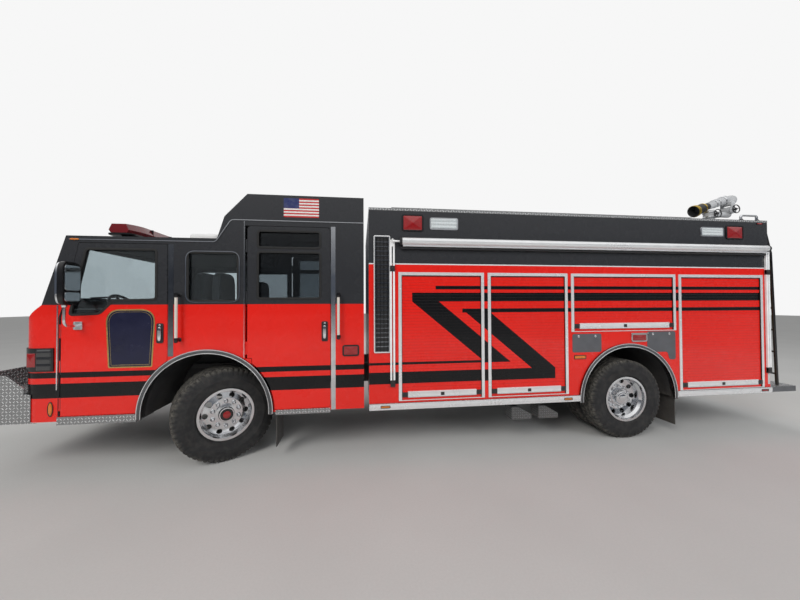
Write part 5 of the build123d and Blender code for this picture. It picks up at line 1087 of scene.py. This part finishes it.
class FIRE_OT_mirrors(Fitting):
    """Door mirrors: rounded heads with two glasses, bent arms and square feet"""
    bl_idname = "fire.mirrors"
    bl_label = "Mirrors"

    def build(self, settings):
        x, y, arm_y = -1.300, -1.384, -1.4227
        twins = partial(make_twins, body="front_door_{hand}_body", stands_for=["mirror_{hand}"])
        twins("mirror_head", [soft_box((x + 0.012, y, 2.0475), (0.0325, 0.1155, 0.2272), 5.0, 36, 64)], "gloss_black")
        twins("mirror_shell", [soft_box((x - 0.012, y, 2.0475), (0.0329, 0.1085, 0.2195), 5.0, 28, 48)], "chrome")
        panes = []
        for low, high in ((1.975, 2.235), (1.86, 1.955)):
            pane = prism(closed_path(rect(-0.088, 0.088, low, high), 0.03), "Y", -0.0045, 0.0)
            points, faces = to_rear(pane, x + 0.041)
            panes.append((points + (0, y, 0), faces))
        twins("mirror_glass", panes, "mirror", bevel=0.0015)
        bend = open_path([(x, arm_y, 1.85), (x, arm_y, 1.60), (x, -1.262, 1.60)], 0.07, 12)
        collar = [(TIP, -0.002), (0.022, 0.0), (0.024, 0.02), (0.016, 0.036), (TIP, 0.037)]
        foot = closed_path(rect(x - 0.044, x + 0.044, 1.556, 1.644), 0.012)
        bolt = [(0.008, 0.0), (0.0075, 0.004), (0.004, 0.0065), (TIP, 0.007)]
        arm = [pipe(bend, 0.0135, 20), lathe(collar, (x, arm_y, 1.80), UP), prism(foot, "Y", -1.2665, -1.2505)]
        arm += [lathe(bolt, (x + dx, -1.2663, 1.60 + dz), OUT, 12)
                for dx in (-0.028, 0.028) for dz in (-0.028, 0.028)]
        twins("mirror_arm", arm, "chrome", bevel=0.002)


# Lamps on the side: name, start, length, bottom, top, lens, bezel's finish and how far the skin stands proud
SIDE_LAMPS = [
    ("fore_red", 2.230, 0.269, 2.711, 2.921, "red_lens", "gloss_black", 0.0),
    ("fore_white", 2.575, 0.366, 2.736, 2.892, "clear_lens", "chrome", 0.0),
    ("aft_white", 6.415, 0.370, 2.738, 2.877, "clear_lens", "chrome", 0.0),
    ("aft_red", 6.820, 0.286, 2.710, 2.906, "red_lens", "gloss_black", 0.0),
    ("top_red", 7.330, 0.110, 2.930, 2.962, "red_lens", "gloss_black", 0.0),
    ("cab_red", 1.509, 0.199, 1.200, 1.335, "red_lens", "gloss_black", 0.0),
    ("arch_red", 5.323, 0.239, 1.298, 1.412, "red_lens", "chrome", 0.0),
    ("body_amber", 4.495, 0.170, 1.088, 1.140, "amber_lens", "plastic", 0.0),
    ("rail_amber_fore", 1.960, 0.120, 0.566, 0.600, "amber_lens", "plastic", RAIL_OUT),
    ("rail_amber_mid", 4.330, 0.120, 0.566, 0.600, "amber_lens", "plastic", RAIL_OUT),
    ("rail_red_aft", 7.330, 0.120, 0.566, 0.600, "red_lens", "plastic", RAIL_OUT),
]
# Tail lamps: name, bottom, top and lens
TAIL_LAMPS = [("stop", 0.900, 1.050, "red_lens"), ("turn", 1.070, 1.220, "amber_lens"),
              ("reverse", 1.240, 1.390, "clear_lens"), ("high", 2.560, 2.740, "red_lens")]


class FIRE_OT_lamps(Fitting):
    """Warning, marker and tail lamps: moulded lenses in raised bezels"""
    bl_idname = "fire.lamps"
    bl_label = "Lamps"

    def build(self, settings):
        pair = partial(make_pair, stands_for=["warning_lamps"])
        for name, x0, length, z0, z1, finish, trim, proud in SIDE_LAMPS:
            small = length < 0.18 or z1 - z0 < 0.06
            edge, lift, stand = (0.009, 0.005, 0.006) if small else (0.02, 0.0135, 0.012)
            x1, skin, inset = x0 + length, SIDE_Y + proud, edge * 0.6
            shape = three_rows if finish == "clear_lens" else pyramid
            pair(f"lens_{name}", [lens_form((x0 + inset, z0 + inset), (x1 - inset, z1 - inset), skin + stand * 0.3,
                                            lift + stand * 0.5, shape)], finish)
            ring = closed_path(rect(x0 + edge / 2, x1 - edge / 2, z0 + edge / 2, z1 - edge / 2), edge)
            bezel = [moulding(ring, bead(edge, stand), skin, closed=True),
                     prism(ring, "Y", -skin - stand * 0.3, -skin - 0.0003)]
            if name == "arch_red":
                bezel.append(boxes((x0 - 0.01, x1 + 0.01, -skin - 0.020, -skin - 0.0003, z1 - 0.004, z1 + 0.008)))
            pair(f"bezel_{name}", bezel, trim)
        oval = (-1.563, -SIDE_Y, 0.7105)
        pair("lens_cab_amber", [soft_box(oval, (0.021, 0.0135, 0.069), 2.2, 24, 40)], "amber_lens")
        points, faces = torus(1.0, 0.09, (0, 0, 0), OUT, 48, 10)
        points = points * (0.0245, 0.05, 0.0725) + oval - (0, 0.0045, 0)
        pair("bezel_cab_amber", [(points, faces)], "plastic")
        roof = soft_box((-1.345, -SIDE_Y - 0.0085, 2.538), (0.044, 0.0065, 0.0085), 4.0, 16, 32)
        make_pair("lens_roof_amber", [roof], "amber_lens")
        for name, z0, z1, finish in TAIL_LAMPS:
            ring = closed_path(rect(-1.190, -1.050, z0 + 0.006, z1 - 0.006), 0.02)
            front = lens_form((-1.184, z0 + 0.012), (-1.056, z1 - 0.012), 0.004, 0.014, pyramid)
            bezel = [moulding(ring, bead(0.014, 0.014), 0.0, closed=True), prism(ring, "Y", -0.004, -0.0003)]
            pair(f"tail_lens_{name}", [to_rear(front, 7.515)], finish)
            pair(f"tail_bezel_{name}", [to_rear(form, 7.515) for form in bezel], "chrome")


AWNING_ARMS = ((2.110, 1), (7.480, -1))     # place of each arm, and the way its end bends


class FIRE_OT_awning(Fitting):
    """Awning along the left side: its rolled tube with end caps, and two folded arms of paired bars"""
    bl_idname = "fire.awning"
    bl_label = "Awning"

    def build(self, settings):
        piece = partial(make, stands_for=["awning"])
        y, z, x0, x1 = -1.308, 2.577, 2.195, 7.440
        end = [(TIP, 0.03), (0.0435, 0.03), (0.0452, 0.034), (0.0452, 0.4)]
        length = x1 - x0
        tube = end + [(0.0452, length / 2)] + [(radius, length - along) for radius, along in end[::-1]]
        fold = boxes((x0 + 0.04, x1 - 0.04, y - 0.012, y + 0.016, z - 0.062, z - 0.042))
        piece("awning_tube", [lathe(tube, (x0, y, z), (1, 0, 0), 40), fold], "tube", bevel=0.002)
        cap = [(TIP, 0.0), (0.04, 0.0), (0.046, 0.006), (0.046, 0.026), (0.044, 0.0305), (TIP, 0.0305)]
        fittings = [lathe(cap, (x, y, z), (way, 0, 0), 32) for x, way in ((x0, 1), (x1, -1))]
        fittings.append(boxes((x0 + 0.02, x1 - 0.02, -1.2990, SKIN, 2.488, 2.510)))
        bars = []
        for x, way in AWNING_ARMS:
            fittings.append(boxes((x - 0.029, x + 0.029, -1.2790, SKIN, 2.215, 2.285),
                                  (x - 0.029, x + 0.029, -1.2790, SKIN, 0.820, 0.900)))
            fittings += [lathe(stud(0.013), (x, -1.2787, height), OUT, 20) for height in (2.25, 0.86)]
            for middle in (x - 0.0185, x + 0.0185):
                half = [(0.006, -1.2755), (0.0105, -1.2735), (0.0105, -1.2515)]
                section = [(middle - a, b) for a, b in half[::-1]] + [(middle + a, b) for a, b in half]
                bars.append(prism(section, "Z", 0.840, 2.600))
            bend = [(x, -1.264, 2.520), (x, -1.264, 2.600), (x, y, 2.600), (x, y, z), (x + way * 0.09, y, z)]
            bars.append(pipe(open_path(bend, 0.02), 0.012, 14))
        piece("awning_fittings", fittings, "plastic", bevel=0.002)
        piece("awning_arms", bars, "white_trim", bevel=0.001)


def faceted_bar(x, y, half, z0, z1, tip):
    """Light bar module along Y: a six-sided section, widest a third of the way up, that shrinks towards a tip."""
    section = np.array([(-0.120, 0.0), (-0.149, 0.32), (-0.105, 1.0), (0.105, 1.0), (0.149, 0.32), (0.120, 0.0)])
    along = np.linspace(-half, half, 13)
    shrink = np.ones(13) if not tip else 1 - 0.42 * np.clip((tip * along + half) / (2 * half) - 0.25, 0, 1) ** 1.6
    px = x + section[None, :, 0] * shrink[:, None]
    pz = z0 + section[None, :, 1] * (z1 - z0) * (0.35 + 0.65 * shrink[:, None])
    points = np.stack([px, np.broadcast_to(y + along[:, None], px.shape), pz], axis=-1).reshape(-1, 3)
    return points, grid_faces(13, 6, wrap_columns=True) + [list(range(6)), list(range(72, 78))[::-1]]


class FIRE_OT_light_bar(Fitting):
    """Roof light bar in faceted modules on a dark base, and the white roof unit behind it"""
    bl_idname = "fire.light_bar"
    bl_label = "Light bar"

    def build(self, settings):
        piece = partial(make, stands_for=["light_bar"])
        x, half, modules = -1.100, 0.990, 5
        width = 2 * half / modules
        lenses = [faceted_bar(x, (i - (modules - 1) / 2) * width, half / modules - 0.003, 2.676, 2.804, tip)
                  for i, tip in enumerate((-1, 0, 0, 0, 1))]
        piece("light_bar_lens", lenses, "dark_red_lens", bevel=0.004)
        base = [soft_box((x, 0.0, 2.664), (0.149, 0.999, 0.0145), 8.0, 16, 64)]
        foot = [(x - 0.080, 2.5785), (x + 0.080, 2.5785), (x + 0.050, 2.656), (x - 0.050, 2.656)]
        for y in (-0.820, 0.0, 0.820):
            base.append(prism(foot, "Y", y - 0.038, y + 0.038))
            base += [lathe([(0.012, 0.0), (0.012, 0.008), (TIP, 0.009)], (x + side * 0.062, y, 2.60),
                           (side * 0.97, 0, 0.24), 6) for side in (-1, 1)]
        seams = [(i - modules / 2) * width for i in range(1, modules)]
        base += [boxes((x - 0.142, x + 0.142, y - 0.004, y + 0.004, 2.664, 2.797)) for y in seams]
        piece("light_bar_base", base, "gloss_black", bevel=0.003)
        middle = -0.440
        piece("roof_unit", [soft_box((middle, 0.0, 2.7045), (0.2145, 0.3995, 0.1255), 6.5, 36, 80)], "white_trim")
        vents = [(middle + start, middle + end, -0.27, 0.27, 2.640 + i * 0.022, 2.648 + i * 0.022)
                 for start, end in ((0.209, 0.2148), (-0.2148, -0.209)) for i in range(6)]
        piece("roof_unit_vents", [boxes(*vents)], "plastic", bevel=0.001)


class FIRE_OT_headlamps(Fitting):
    """Headlamp lenses in bright rings, the corner's turn and marker lenses, and the radiator in painted shade behind
    the grille
    """
    bl_idname = "fire.headlamps"
    bl_label = "Headlamps"

    def build(self, settings):
        nose = -1.878
        front = [(TIP, 0.030), (0.074, 0.0255), (0.076, 0.0285), (0.060, 0.0325), (0.03, 0.0352), (TIP, 0.036)]
        ring = [(0.0885, 0.0), (0.0945, 0.001), (0.0945, 0.014), (0.087, 0.024), (0.0765, 0.0305), (0.0745, 0.0275),
                (0.084, 0.016), (0.0885, 0.012)]
        places = [(nose - 0.012, y, 1.2385) for y in (-0.755, -0.975)]
        # a thin dark plate on the nose just behind the grille bars, standing for the shaded opening: painted shade
        # with the radiator's own black
        make("radiator_core", [boxes((nose - 0.0045, nose - 0.0005, -0.525, 0.525, 0.935, 1.575))], "radiator",
             bevel=0.001)
        make_pair("headlamp_lenses", [lathe(front, place, AHEAD, 48) for place in places], "headlamp")
        make_pair("headlamp_rings", [lathe(ring, place, AHEAD, 48) for place in places], "chrome")
        turn = lens_form((-1.780, 1.165), (-1.700, 1.310), 1.2645, 0.010, pyramid)
        corner = lens_form((-1.690, 1.130), (-1.553, 1.348), 1.2645, 0.009, three_rows)
        make_pair("turn_lenses", [turn], "red_lens")
        make_pair("corner_lenses", [corner], "smoked")


class FIRE_OT_louvre_panel(Fitting):
    """Dark intake panel behind the louvres' vanes, in a bright frame"""
    bl_idname = "fire.louvre_panel"
    bl_label = "Louvre panel"

    def build(self, settings):
        x0, x1, z0, z1 = 1.890, 2.078, 1.236, 2.644
        ribs = [x0 + 0.030 + (x1 - x0 - 0.060) * i / 3 for i in range(4)]
        section = [(-0.006, 0.0003), (-0.006, 0.0168), (-0.003, 0.0188), (0.004, 0.0188), (0.006, 0.0168),
                   (0.006, 0.0003)]
        make_pair("louvre_plate", [boxes((x0 + 0.004, x1 - 0.004, -1.2548, SKIN, z0 + 0.004, z1 - 0.004))], "plastic")
        make_pair("louvre_ribs", [boxes(*[(x - 0.003, x + 0.003, -1.2668, -1.2545, z0 + 0.01, z1 - 0.01)
                                          for x in ribs])], "gloss_black", bevel=0.001)
        make_pair("louvre_frame", [moulding(closed_path(rect(x0, x1, z0, z1), 0.012), section, closed=True)], "satin")


class FIRE_OT_panels(Fitting):
    """Plain door panel, banded decal, grey hatches over the wheel and reflective edges"""
    bl_idname = "fire.panels"
    bl_label = "Panels and decals"

    def build(self, settings):
        twins = partial(make_twins, body="front_door_{hand}_body")
        outline = closed_path([(-1.004, 1.140), (-1.036, 1.768), (-0.543, 1.768), (-0.575, 1.140)],
                              [0.012, 0.15, 0.15, 0.012], 10)
        inner = closed_path([(-0.981, 1.163), (-1.011, 1.745), (-0.568, 1.745), (-0.598, 1.163)],
                            [0.008, 0.132, 0.132, 0.008], 10)
        twins("door_panel", [prism(outline, "Y", -1.2512, SKIN)], "navy")
        twins("door_panel_rim", [moulding(outline, bead(0.014, 0.0016), closed=True)], "gold")
        twins("door_panel_line", [moulding(inner, bead(0.004, 0.0014), closed=True)], "gold")
        decal = closed_path(rect(0.835, 1.238, 2.845, 3.069), 0.006)
        make_pair("roof_decal", [prism(decal, "Y", -1.2510, SKIN)], "pennant")
        aft = [(5.564, 1.157), (5.87, 1.157), (5.90, 1.05), (5.996, 1.05), (5.996, 1.435), (5.564, 1.435)]
        hatches = [closed_path(corners, 0.03) for corners in (rect(4.472, 4.888, 1.176, 1.418), aft)]
        make_pair("wheel_hatches", [prism(hatch, "Y", -1.2530, SKIN) for hatch in hatches], "hatch", bevel=0.0012)
        latches = []
        for d, z in ((4.56, 1.385), (4.80, 1.385), (5.65, 1.400), (5.90, 1.400)):
            latches += [lathe(stud(0.016), (d, -1.2527, z), OUT),
                        boxes((d - 0.011, d + 0.011, -1.2612, -1.2590, z - 0.003, z + 0.003))]
        make_pair("hatch_latches", latches, "chrome")
        make_pair("rear_edge_tape", [boxes((7.475, 7.512, -1.2512, SKIN, 0.66, 2.40))], "rear_wall")


# Roll-up shutters: start, end and sill
BAYS = [(2.184, 3.272, 0.642), (3.322, 4.410, 0.642), (4.460, 6.005, 1.445), (6.055, 7.410, 0.622)]


class FIRE_OT_shutter_trim(Fitting):
    """Lift bars with their latches, and the rubber wipers along the shutter frames"""
    bl_idname = "fire.shutter_trim"
    bl_label = "Shutter trim"

    def build(self, settings):
        bars, latches, wipers = [], [], []
        section = [(-0.037, -0.0055), (-0.037, 0.0102), (-0.030, 0.0150), (-0.012, 0.0118), (0.010, 0.0118),
                   (0.022, 0.0158), (0.034, 0.0158), (0.037, 0.0125), (0.037, -0.0055)]
        knob = [(0.012, 0.0), (0.011, 0.006), (TIP, 0.007)]
        for start, end, sill in BAYS:
            x0, x1, z = start + 0.042, end - 0.042, sill + 0.075
            middle = (x0 + x1) / 2
            bars.append(moulding([(x0 + 0.07, z), (x1 - 0.07, z)], section))
            for low, high in ((x0, x0 + 0.07), (x1 - 0.07, x1)):
                latches += [boxes((low, high, -1.2655, -1.2447, z - 0.030, z + 0.030)),
                            lathe(knob, ((low + high) / 2, -1.2652, z), OUT, 20)]
            latches.append(boxes((middle - 0.022, middle + 0.022, -1.2675, -1.2600, z - 0.020, z + 0.020)))
            wipers += [boxes((x - 0.004, x + 0.004, -1.2560, -1.2445, sill + 0.01, 2.165))
                       for x in (x0 - 0.003, x1 + 0.003)]
            wipers.append(boxes((x0, x1, -1.2540, -1.2445, 2.160, 2.171)))
        make_pair("lift_bars", bars, "satin")
        rear = moulding([(-0.38, 1.075), (0.38, 1.075)], section, 0.0)
        make("lift_bar_rear", [to_rear(rear, 7.512)], "satin")
        make_pair("lift_latches", latches, "plastic", bevel=0.004)
        make_pair("shutter_wipers", wipers, "seal", bevel=0.0015)


MONITOR_Y = -0.85
MONITOR_NECK, MONITOR_PIVOT = np.array([7.495, MONITOR_Y, 3.4716]), np.array([7.400, MONITOR_Y, 3.2466])
MONITOR_RING = np.array([7.08, MONITOR_Y, 3.1206])
BARREL_SLOPE = math.radians(20)


def ring_band(inner, outer, round_off, chamfer, width, origin, along):
    """A ring with chamfered outer edges round an axis."""
    section = [(inner, 0), (outer, 0), (outer + round_off, chamfer), (outer + round_off, width - chamfer),
               (outer, width), (inner, width)]
    return lathe(section, origin, along, 40, closed=True)


class FIRE_OT_monitor_trim(Fitting):
    """Roof monitor: pipe with its bands, nozzle with its grip and rings, and the two hand wheels"""
    bl_idname = "fire.monitor_trim"
    bl_label = "Monitor"

    def build(self, settings):
        neck, pivot, ring = MONITOR_NECK, MONITOR_PIVOT, MONITOR_RING
        down = np.array([-math.cos(BARREL_SLOPE), 0, -math.sin(BARREL_SLOPE)])
        barrel = partial(make, body="monitor_barrel_body")
        tip = [(TIP, 0.480), (0.050, 0.480), (0.053, 0.485), (0.053, 0.535), (0.060, 0.558), (0.068, 0.575)]
        tip += [(0.072 + 0.0025 * (i % 2), 0.590 + 0.012 * i) for i in range(8)]
        tip += [(0.076, 0.694), (0.083, 0.725), (0.086, 0.7490), (0.080, 0.7505), (0.066, 0.725), (0.048, 0.660),
                (TIP, 0.655)]
        barrel("nozzle", [lathe(tip, neck, down, 48)], "plastic", stands_for=["monitor_barrel"])
        bend = open_path([pivot + (0.002, 0, 0.105), pivot + (0.012, 0, 0.128), neck + (-0.004, 0, -0.035),
                          neck + down * 0.20 + (0, 0, -0.004)], 0.085, 12)
        swell = [0.056 + 0.014 * math.sin(math.pi * i / (len(bend) - 1)) for i in range(len(bend))]
        straight = [neck + down * (0.15 + 0.068 * i) for i in range(6)]
        cheek = [(TIP, 0.0), (0.0515, 0.0), (0.0555, 0.003), (0.0555, 0.0135), (0.048, 0.0170), (TIP, 0.0172)]
        gooseneck = [pipe(bend, swell, 40), pipe(straight, [0.064, 0.063, 0.061, 0.059, 0.056, 0.050], 40)]
        for side in (-1, 1):
            gooseneck += [lathe(cheek, pivot + (0, side * 0.0628, 0), (0, side, 0), 40),
                          soft_box(pivot + (0, side * 0.0713, 0.062), (0.033, 0.0082, 0.066), 8.0, 16, 32)]
        gooseneck.append(soft_box(pivot + (0, 0, 0.103), (0.036, 0.078, 0.026), 6.0, 16, 40))
        barrel("gooseneck", gooseneck, "monitor", stands_for=["monitor_barrel"])
        barrel("barrel_bands", [ring_band(radius - 0.006, radius, 0.006, 0.004, width, neck + down * along, down)
                                for along, radius, width in ((0.19, 0.062, 0.03), (0.30, 0.059, 0.02),
                                                             (0.36, 0.058, 0.02))], "chrome")
        barrel("barrel_rings", [ring_band(inner, outer, 0.0015, 0.003, 0.016, neck + down * along, down)
                                for along, inner, outer in ((0.572, 0.066, 0.0745), (0.700, 0.077, 0.0865),
                                                            (0.728, 0.0825, 0.0895))], "brass")
        collars = [lathe([(0.07, low), (0.083, low), (0.085, low + 0.003), (0.085, high - 0.003), (0.083, high),
                          (0.07, high)], ring, UP, 40) for low, high in ((0.004, 0.022), (0.075, 0.093))]
        make("swivel_collars", collars, "chrome", "monitor_swivel_body")
        hub = [(TIP, -0.004), (0.014, -0.004), (0.014, 0.030), (0.018, 0.032), (0.018, 0.040), (TIP, 0.042)]
        wheels, radius = [], 0.060
        for origin in (ring + (0, -0.078, 0.048), pivot + (0, -0.08, 0)):
            middle = origin + (0, -0.036, 0)
            wheels += [lathe(hub, origin, OUT), torus(radius, 0.007, middle, OUT)]
            for turn in (0.3 + i * 2 * math.pi / 3 for i in range(3)):
                spoke = np.array([math.cos(turn), 0, math.sin(turn)]) * radius
                wheels.append(pipe([middle, middle + spoke], 0.0045, 10))
        make("hand_wheels", wheels, "plastic", "monitor_swivel_body")


# Seats: name, front edge, middle off the centre line, and which way they face
SEATS = [("front", -0.740, 0.760, 1), ("rear_facing", 0.520, 0.800, -1), ("bench", 1.110, 0.760, 1)]
CUSHION_Z, BACK_Z = 1.4778, 1.822
CUSHION_HALF, BACK_HALF = (0.227, 0.2475, 0.0555), (0.0555, 0.2475, 0.3965)


def dent(place, middle, width):
    """A groove's depth across it: a bell curve."""
    return np.exp(-((place - middle) / width) ** 2)


def cushion(x, y):
    """Rounded box whose top is crowned in both ways and drawn in along the piped seams."""
    points, faces = soft_box((x, y, CUSHION_Z), CUSHION_HALF, 5.5, 48, 96)
    u, v = (points[:, 0] - x) / CUSHION_HALF[0], (points[:, 1] - y) / CUSHION_HALF[1]
    crown = 0.80 + 0.20 * (1 - u ** 2) * (1 - v ** 2)
    groove = 0.007 * (dent(np.abs(v), 0.62, 0.03) + dent(u, 0, 0.03) * (np.abs(v) < 0.62))
    z = points[:, 2]
    points[:, 2] = np.where(z > CUSHION_Z, CUSHION_Z + (z - CUSHION_Z) * crown - groove, z)
    return points, faces


def backrest(x, y, facing):
    """Rounded box whose front swells into side bolsters and is drawn in along the piped seams."""
    points, faces = soft_box((x, y, BACK_Z), BACK_HALF, 5.5, 96, 72)
    v, w = np.abs(points[:, 1] - y) / BACK_HALF[1], (points[:, 2] - BACK_Z) / BACK_HALF[2]
    groove = 0.006 * (dent(v, 0.60, 0.03) + (dent(w, 0.45, 0.02) + dent(w, -0.25, 0.02)) * (v < 0.6))
    off = points[:, 0] - x
    shift = off * (0.74 + 0.26 * v ** 1.5) + facing * groove
    points[:, 0] = np.where(off * -facing > 0, x + shift, points[:, 0])
    return points, faces


class FIRE_OT_seats(Fitting):
    """Crew seats: crowned cushions and backs with piped seams and side bolsters"""
    bl_idname = "fire.seats"
    bl_label = "Crew seats"

    def build(self, settings):
        for name, start, y, facing in SEATS:
            for hand, side in HANDS:
                for part, form in (("cushion", cushion(start + facing * 0.23, side * y)),
                                   ("backrest", backrest(start + facing * 0.5178, side * y, facing))):
                    piece = make(f"{name}_{part}_{hand}", [form], "cloth", stands_for=["crew_seats"])


# Lights: name, place, size, power and tint
LIGHTS = [("key", (-9, -13, 11), 9.0, 1300, (1.0, 0.98, 0.95)), ("fill", (9, -11, 6), 8.0, 500, (0.95, 0.97, 1.0)),
          ("rim", (4, 12, 9), 8.0, 500, (1.0, 1.0, 1.0))]
LIGHTS_AIM = Vector((0, 0, 1.2))
FLOOR_REACH = 60.0
SENSOR, CLIP = 36, (0.05, 400)
CAMERA_PLACE, CAMERA_YAW, CAMERA_PITCH, CAMERA_ROLL = (1.7271, -5.0666, 1.8133), 0.12418, 0.01441, -0.00435


def add_floor(stage):
    """Plain pale floor."""
    corners = [(x * FLOOR_REACH, y * FLOOR_REACH, 0) for x, y in ((-1, -1), (1, -1), (1, 1), (-1, 1))]
    floor = bpy.data.objects.new("floor", bpy.data.meshes.new("floor"))
    floor.data.from_pydata(corners, [], [(0, 1, 2, 3)])
    material, place = surface("Floor", roughness=0.85)
    base = mix(mottle(place, 0.8, detail=6.0), stage.floor, tone(stage.floor, 0.94))
    base = mix(mottle(place, 60.0) * 0.3, base, tone(stage.floor, 0.85))
    floor.data.materials.append(wired(material, Base_Color=base))
    bpy.context.scene.collection.objects.link(floor)


def add_sky(stage):
    """Soft light from all round: even on matt things, darker below in bright metal, and pale to the camera."""
    world = bpy.data.worlds.new("Sky")
    bpy.context.scene.world = world
    world.use_nodes = True
    tree = world.node_tree
    rays = put(tree, "ShaderNodeLightPath", {}).outputs
    glossy, seen = Value(rays["Is Glossy Ray"]), Value(rays["Is Camera Ray"]) | Value(rays["Is Transmission Ray"])
    height = parts(Value(put(tree, "ShaderNodeTexCoord", {}).outputs["Generated"]))[2]
    even = mix(height.ramp(-0.05, 0.5), (0.42, 0.44, 0.47), (1.0, 1.0, 1.0))
    sharp = mix(height.ramp(0.10, 0.55), (0.07, 0.08, 0.10), (1.0, 1.0, 1.0))
    colour = mix(seen, mix(glossy, even, sharp), (0.93, 0.93, 0.93))
    level = mix(seen, mix(glossy, (stage.sky,) * 3, (stage.shine,) * 3), (1.0, 1.0, 1.0))
    for name, value in (("Color", colour), ("Strength", level)):
        tree.links.new(value.socket, tree.nodes["Background"].inputs[name])


def add_lights(stage):
    """Broad lights aimed at the middle of the vehicle."""
    for name, place, size, power, tint in LIGHTS:
        light = bpy.data.objects.new(name, bpy.data.lights.new(name, "AREA"))
        light.data.shape, light.data.size, light.data.color = "DISK", size, tint
        light.data.energy = power * stage.sun
        light.location = place
        light.rotation_mode = "QUATERNION"
        light.rotation_quaternion = (LIGHTS_AIM - Vector(place)).to_track_quat("-Z", "Y")
        light.visible_glossy = False
        bpy.context.scene.collection.objects.link(light)


def add_camera(stage):
    """Camera at the photo's viewpoint."""
    camera = bpy.data.objects.new("camera", bpy.data.cameras.new("camera"))
    camera.data.lens, camera.data.sensor_width = stage.lens, SENSOR
    camera.data.clip_start, camera.data.clip_end = CLIP
    sin_yaw, cos_yaw = math.sin(CAMERA_YAW), math.cos(CAMERA_YAW)
    sin_roll, cos_roll = math.sin(CAMERA_ROLL), math.cos(CAMERA_ROLL)
    ahead = np.array([sin_yaw * math.cos(CAMERA_PITCH), cos_yaw * math.cos(CAMERA_PITCH), math.sin(CAMERA_PITCH)])
    right = np.array([cos_yaw, -sin_yaw, 0.0])
    up = np.cross(right, ahead)
    turn = np.eye(4)
    turn[:3, :3] = np.stack([right * cos_roll + up * sin_roll, up * cos_roll - right * sin_roll, -ahead], axis=-1)
    turn[:3, 3] = CAMERA_PLACE + SHIFT
    bpy.context.scene.collection.objects.link(camera)
    camera.matrix_world = Matrix(turn.tolist())
    bpy.context.scene.camera = camera


class FIRE_OT_stage(Fitting):
    """Floor, light all round, broad key light and the camera of the photo"""
    bl_idname = "fire.stage"
    bl_label = "Stage"

    def build(self, settings):
        bpy.context.scene.view_settings.view_transform = "Standard"
        for add in (add_floor, add_sky, add_lights, add_camera):
            add(settings.stage)


class FireEngineSettings(bpy.types.PropertyGroup):
    """All the settings together."""
    paint: PointerProperty(type=PaintSettings)
    tyres: PointerProperty(type=TyreSettings)
    seats: PointerProperty(type=SeatSettings)
    stage: PointerProperty(type=StageSettings)


OPERATORS = [FIRE_OT_finishes, FIRE_OT_tyres, FIRE_OT_hubs, FIRE_OT_window_seals, FIRE_OT_cab_trim,
             FIRE_OT_rail_faces, FIRE_OT_handles, FIRE_OT_mirrors, FIRE_OT_lamps, FIRE_OT_awning,
             FIRE_OT_light_bar, FIRE_OT_headlamps, FIRE_OT_louvre_panel, FIRE_OT_panels, FIRE_OT_shutter_trim,
             FIRE_OT_monitor_trim, FIRE_OT_seats, FIRE_OT_stage]


class FIRE_PT_panel(bpy.types.Panel):
    """Lists the operators and the settings in the sidebar."""
    bl_label = "Fire engine"
    bl_idname = "FIRE_PT_panel"
    bl_space_type = "VIEW_3D"
    bl_region_type = "UI"
    bl_category = "Fire Engine"

    def draw(self, context):
        for operator in OPERATORS:
            self.layout.operator(operator.bl_idname)
        for name in ("paint", "tyres", "seats", "stage"):
            settings = getattr(context.scene.fire_engine, name)
            for key in settings.bl_rna.properties.keys()[2:]:
                self.layout.prop(settings, key)


CLASSES = [PaintSettings, TyreSettings, SeatSettings, StageSettings, FireEngineSettings, *OPERATORS, FIRE_PT_panel]


def register():
    for item in CLASSES:
        bpy.utils.register_class(item)
    bpy.types.Scene.fire_engine = PointerProperty(type=FireEngineSettings)


def unregister():
    del bpy.types.Scene.fire_engine
    for item in reversed(CLASSES):
        bpy.utils.unregister_class(item)


def main():
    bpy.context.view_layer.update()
    register()
    for operator in OPERATORS:
        group_name, name = operator.bl_idname.split(".")
        getattr(getattr(bpy.ops, group_name), name)()
    bpy.context.view_layer.update()


if __name__ == "__main__":
    main()
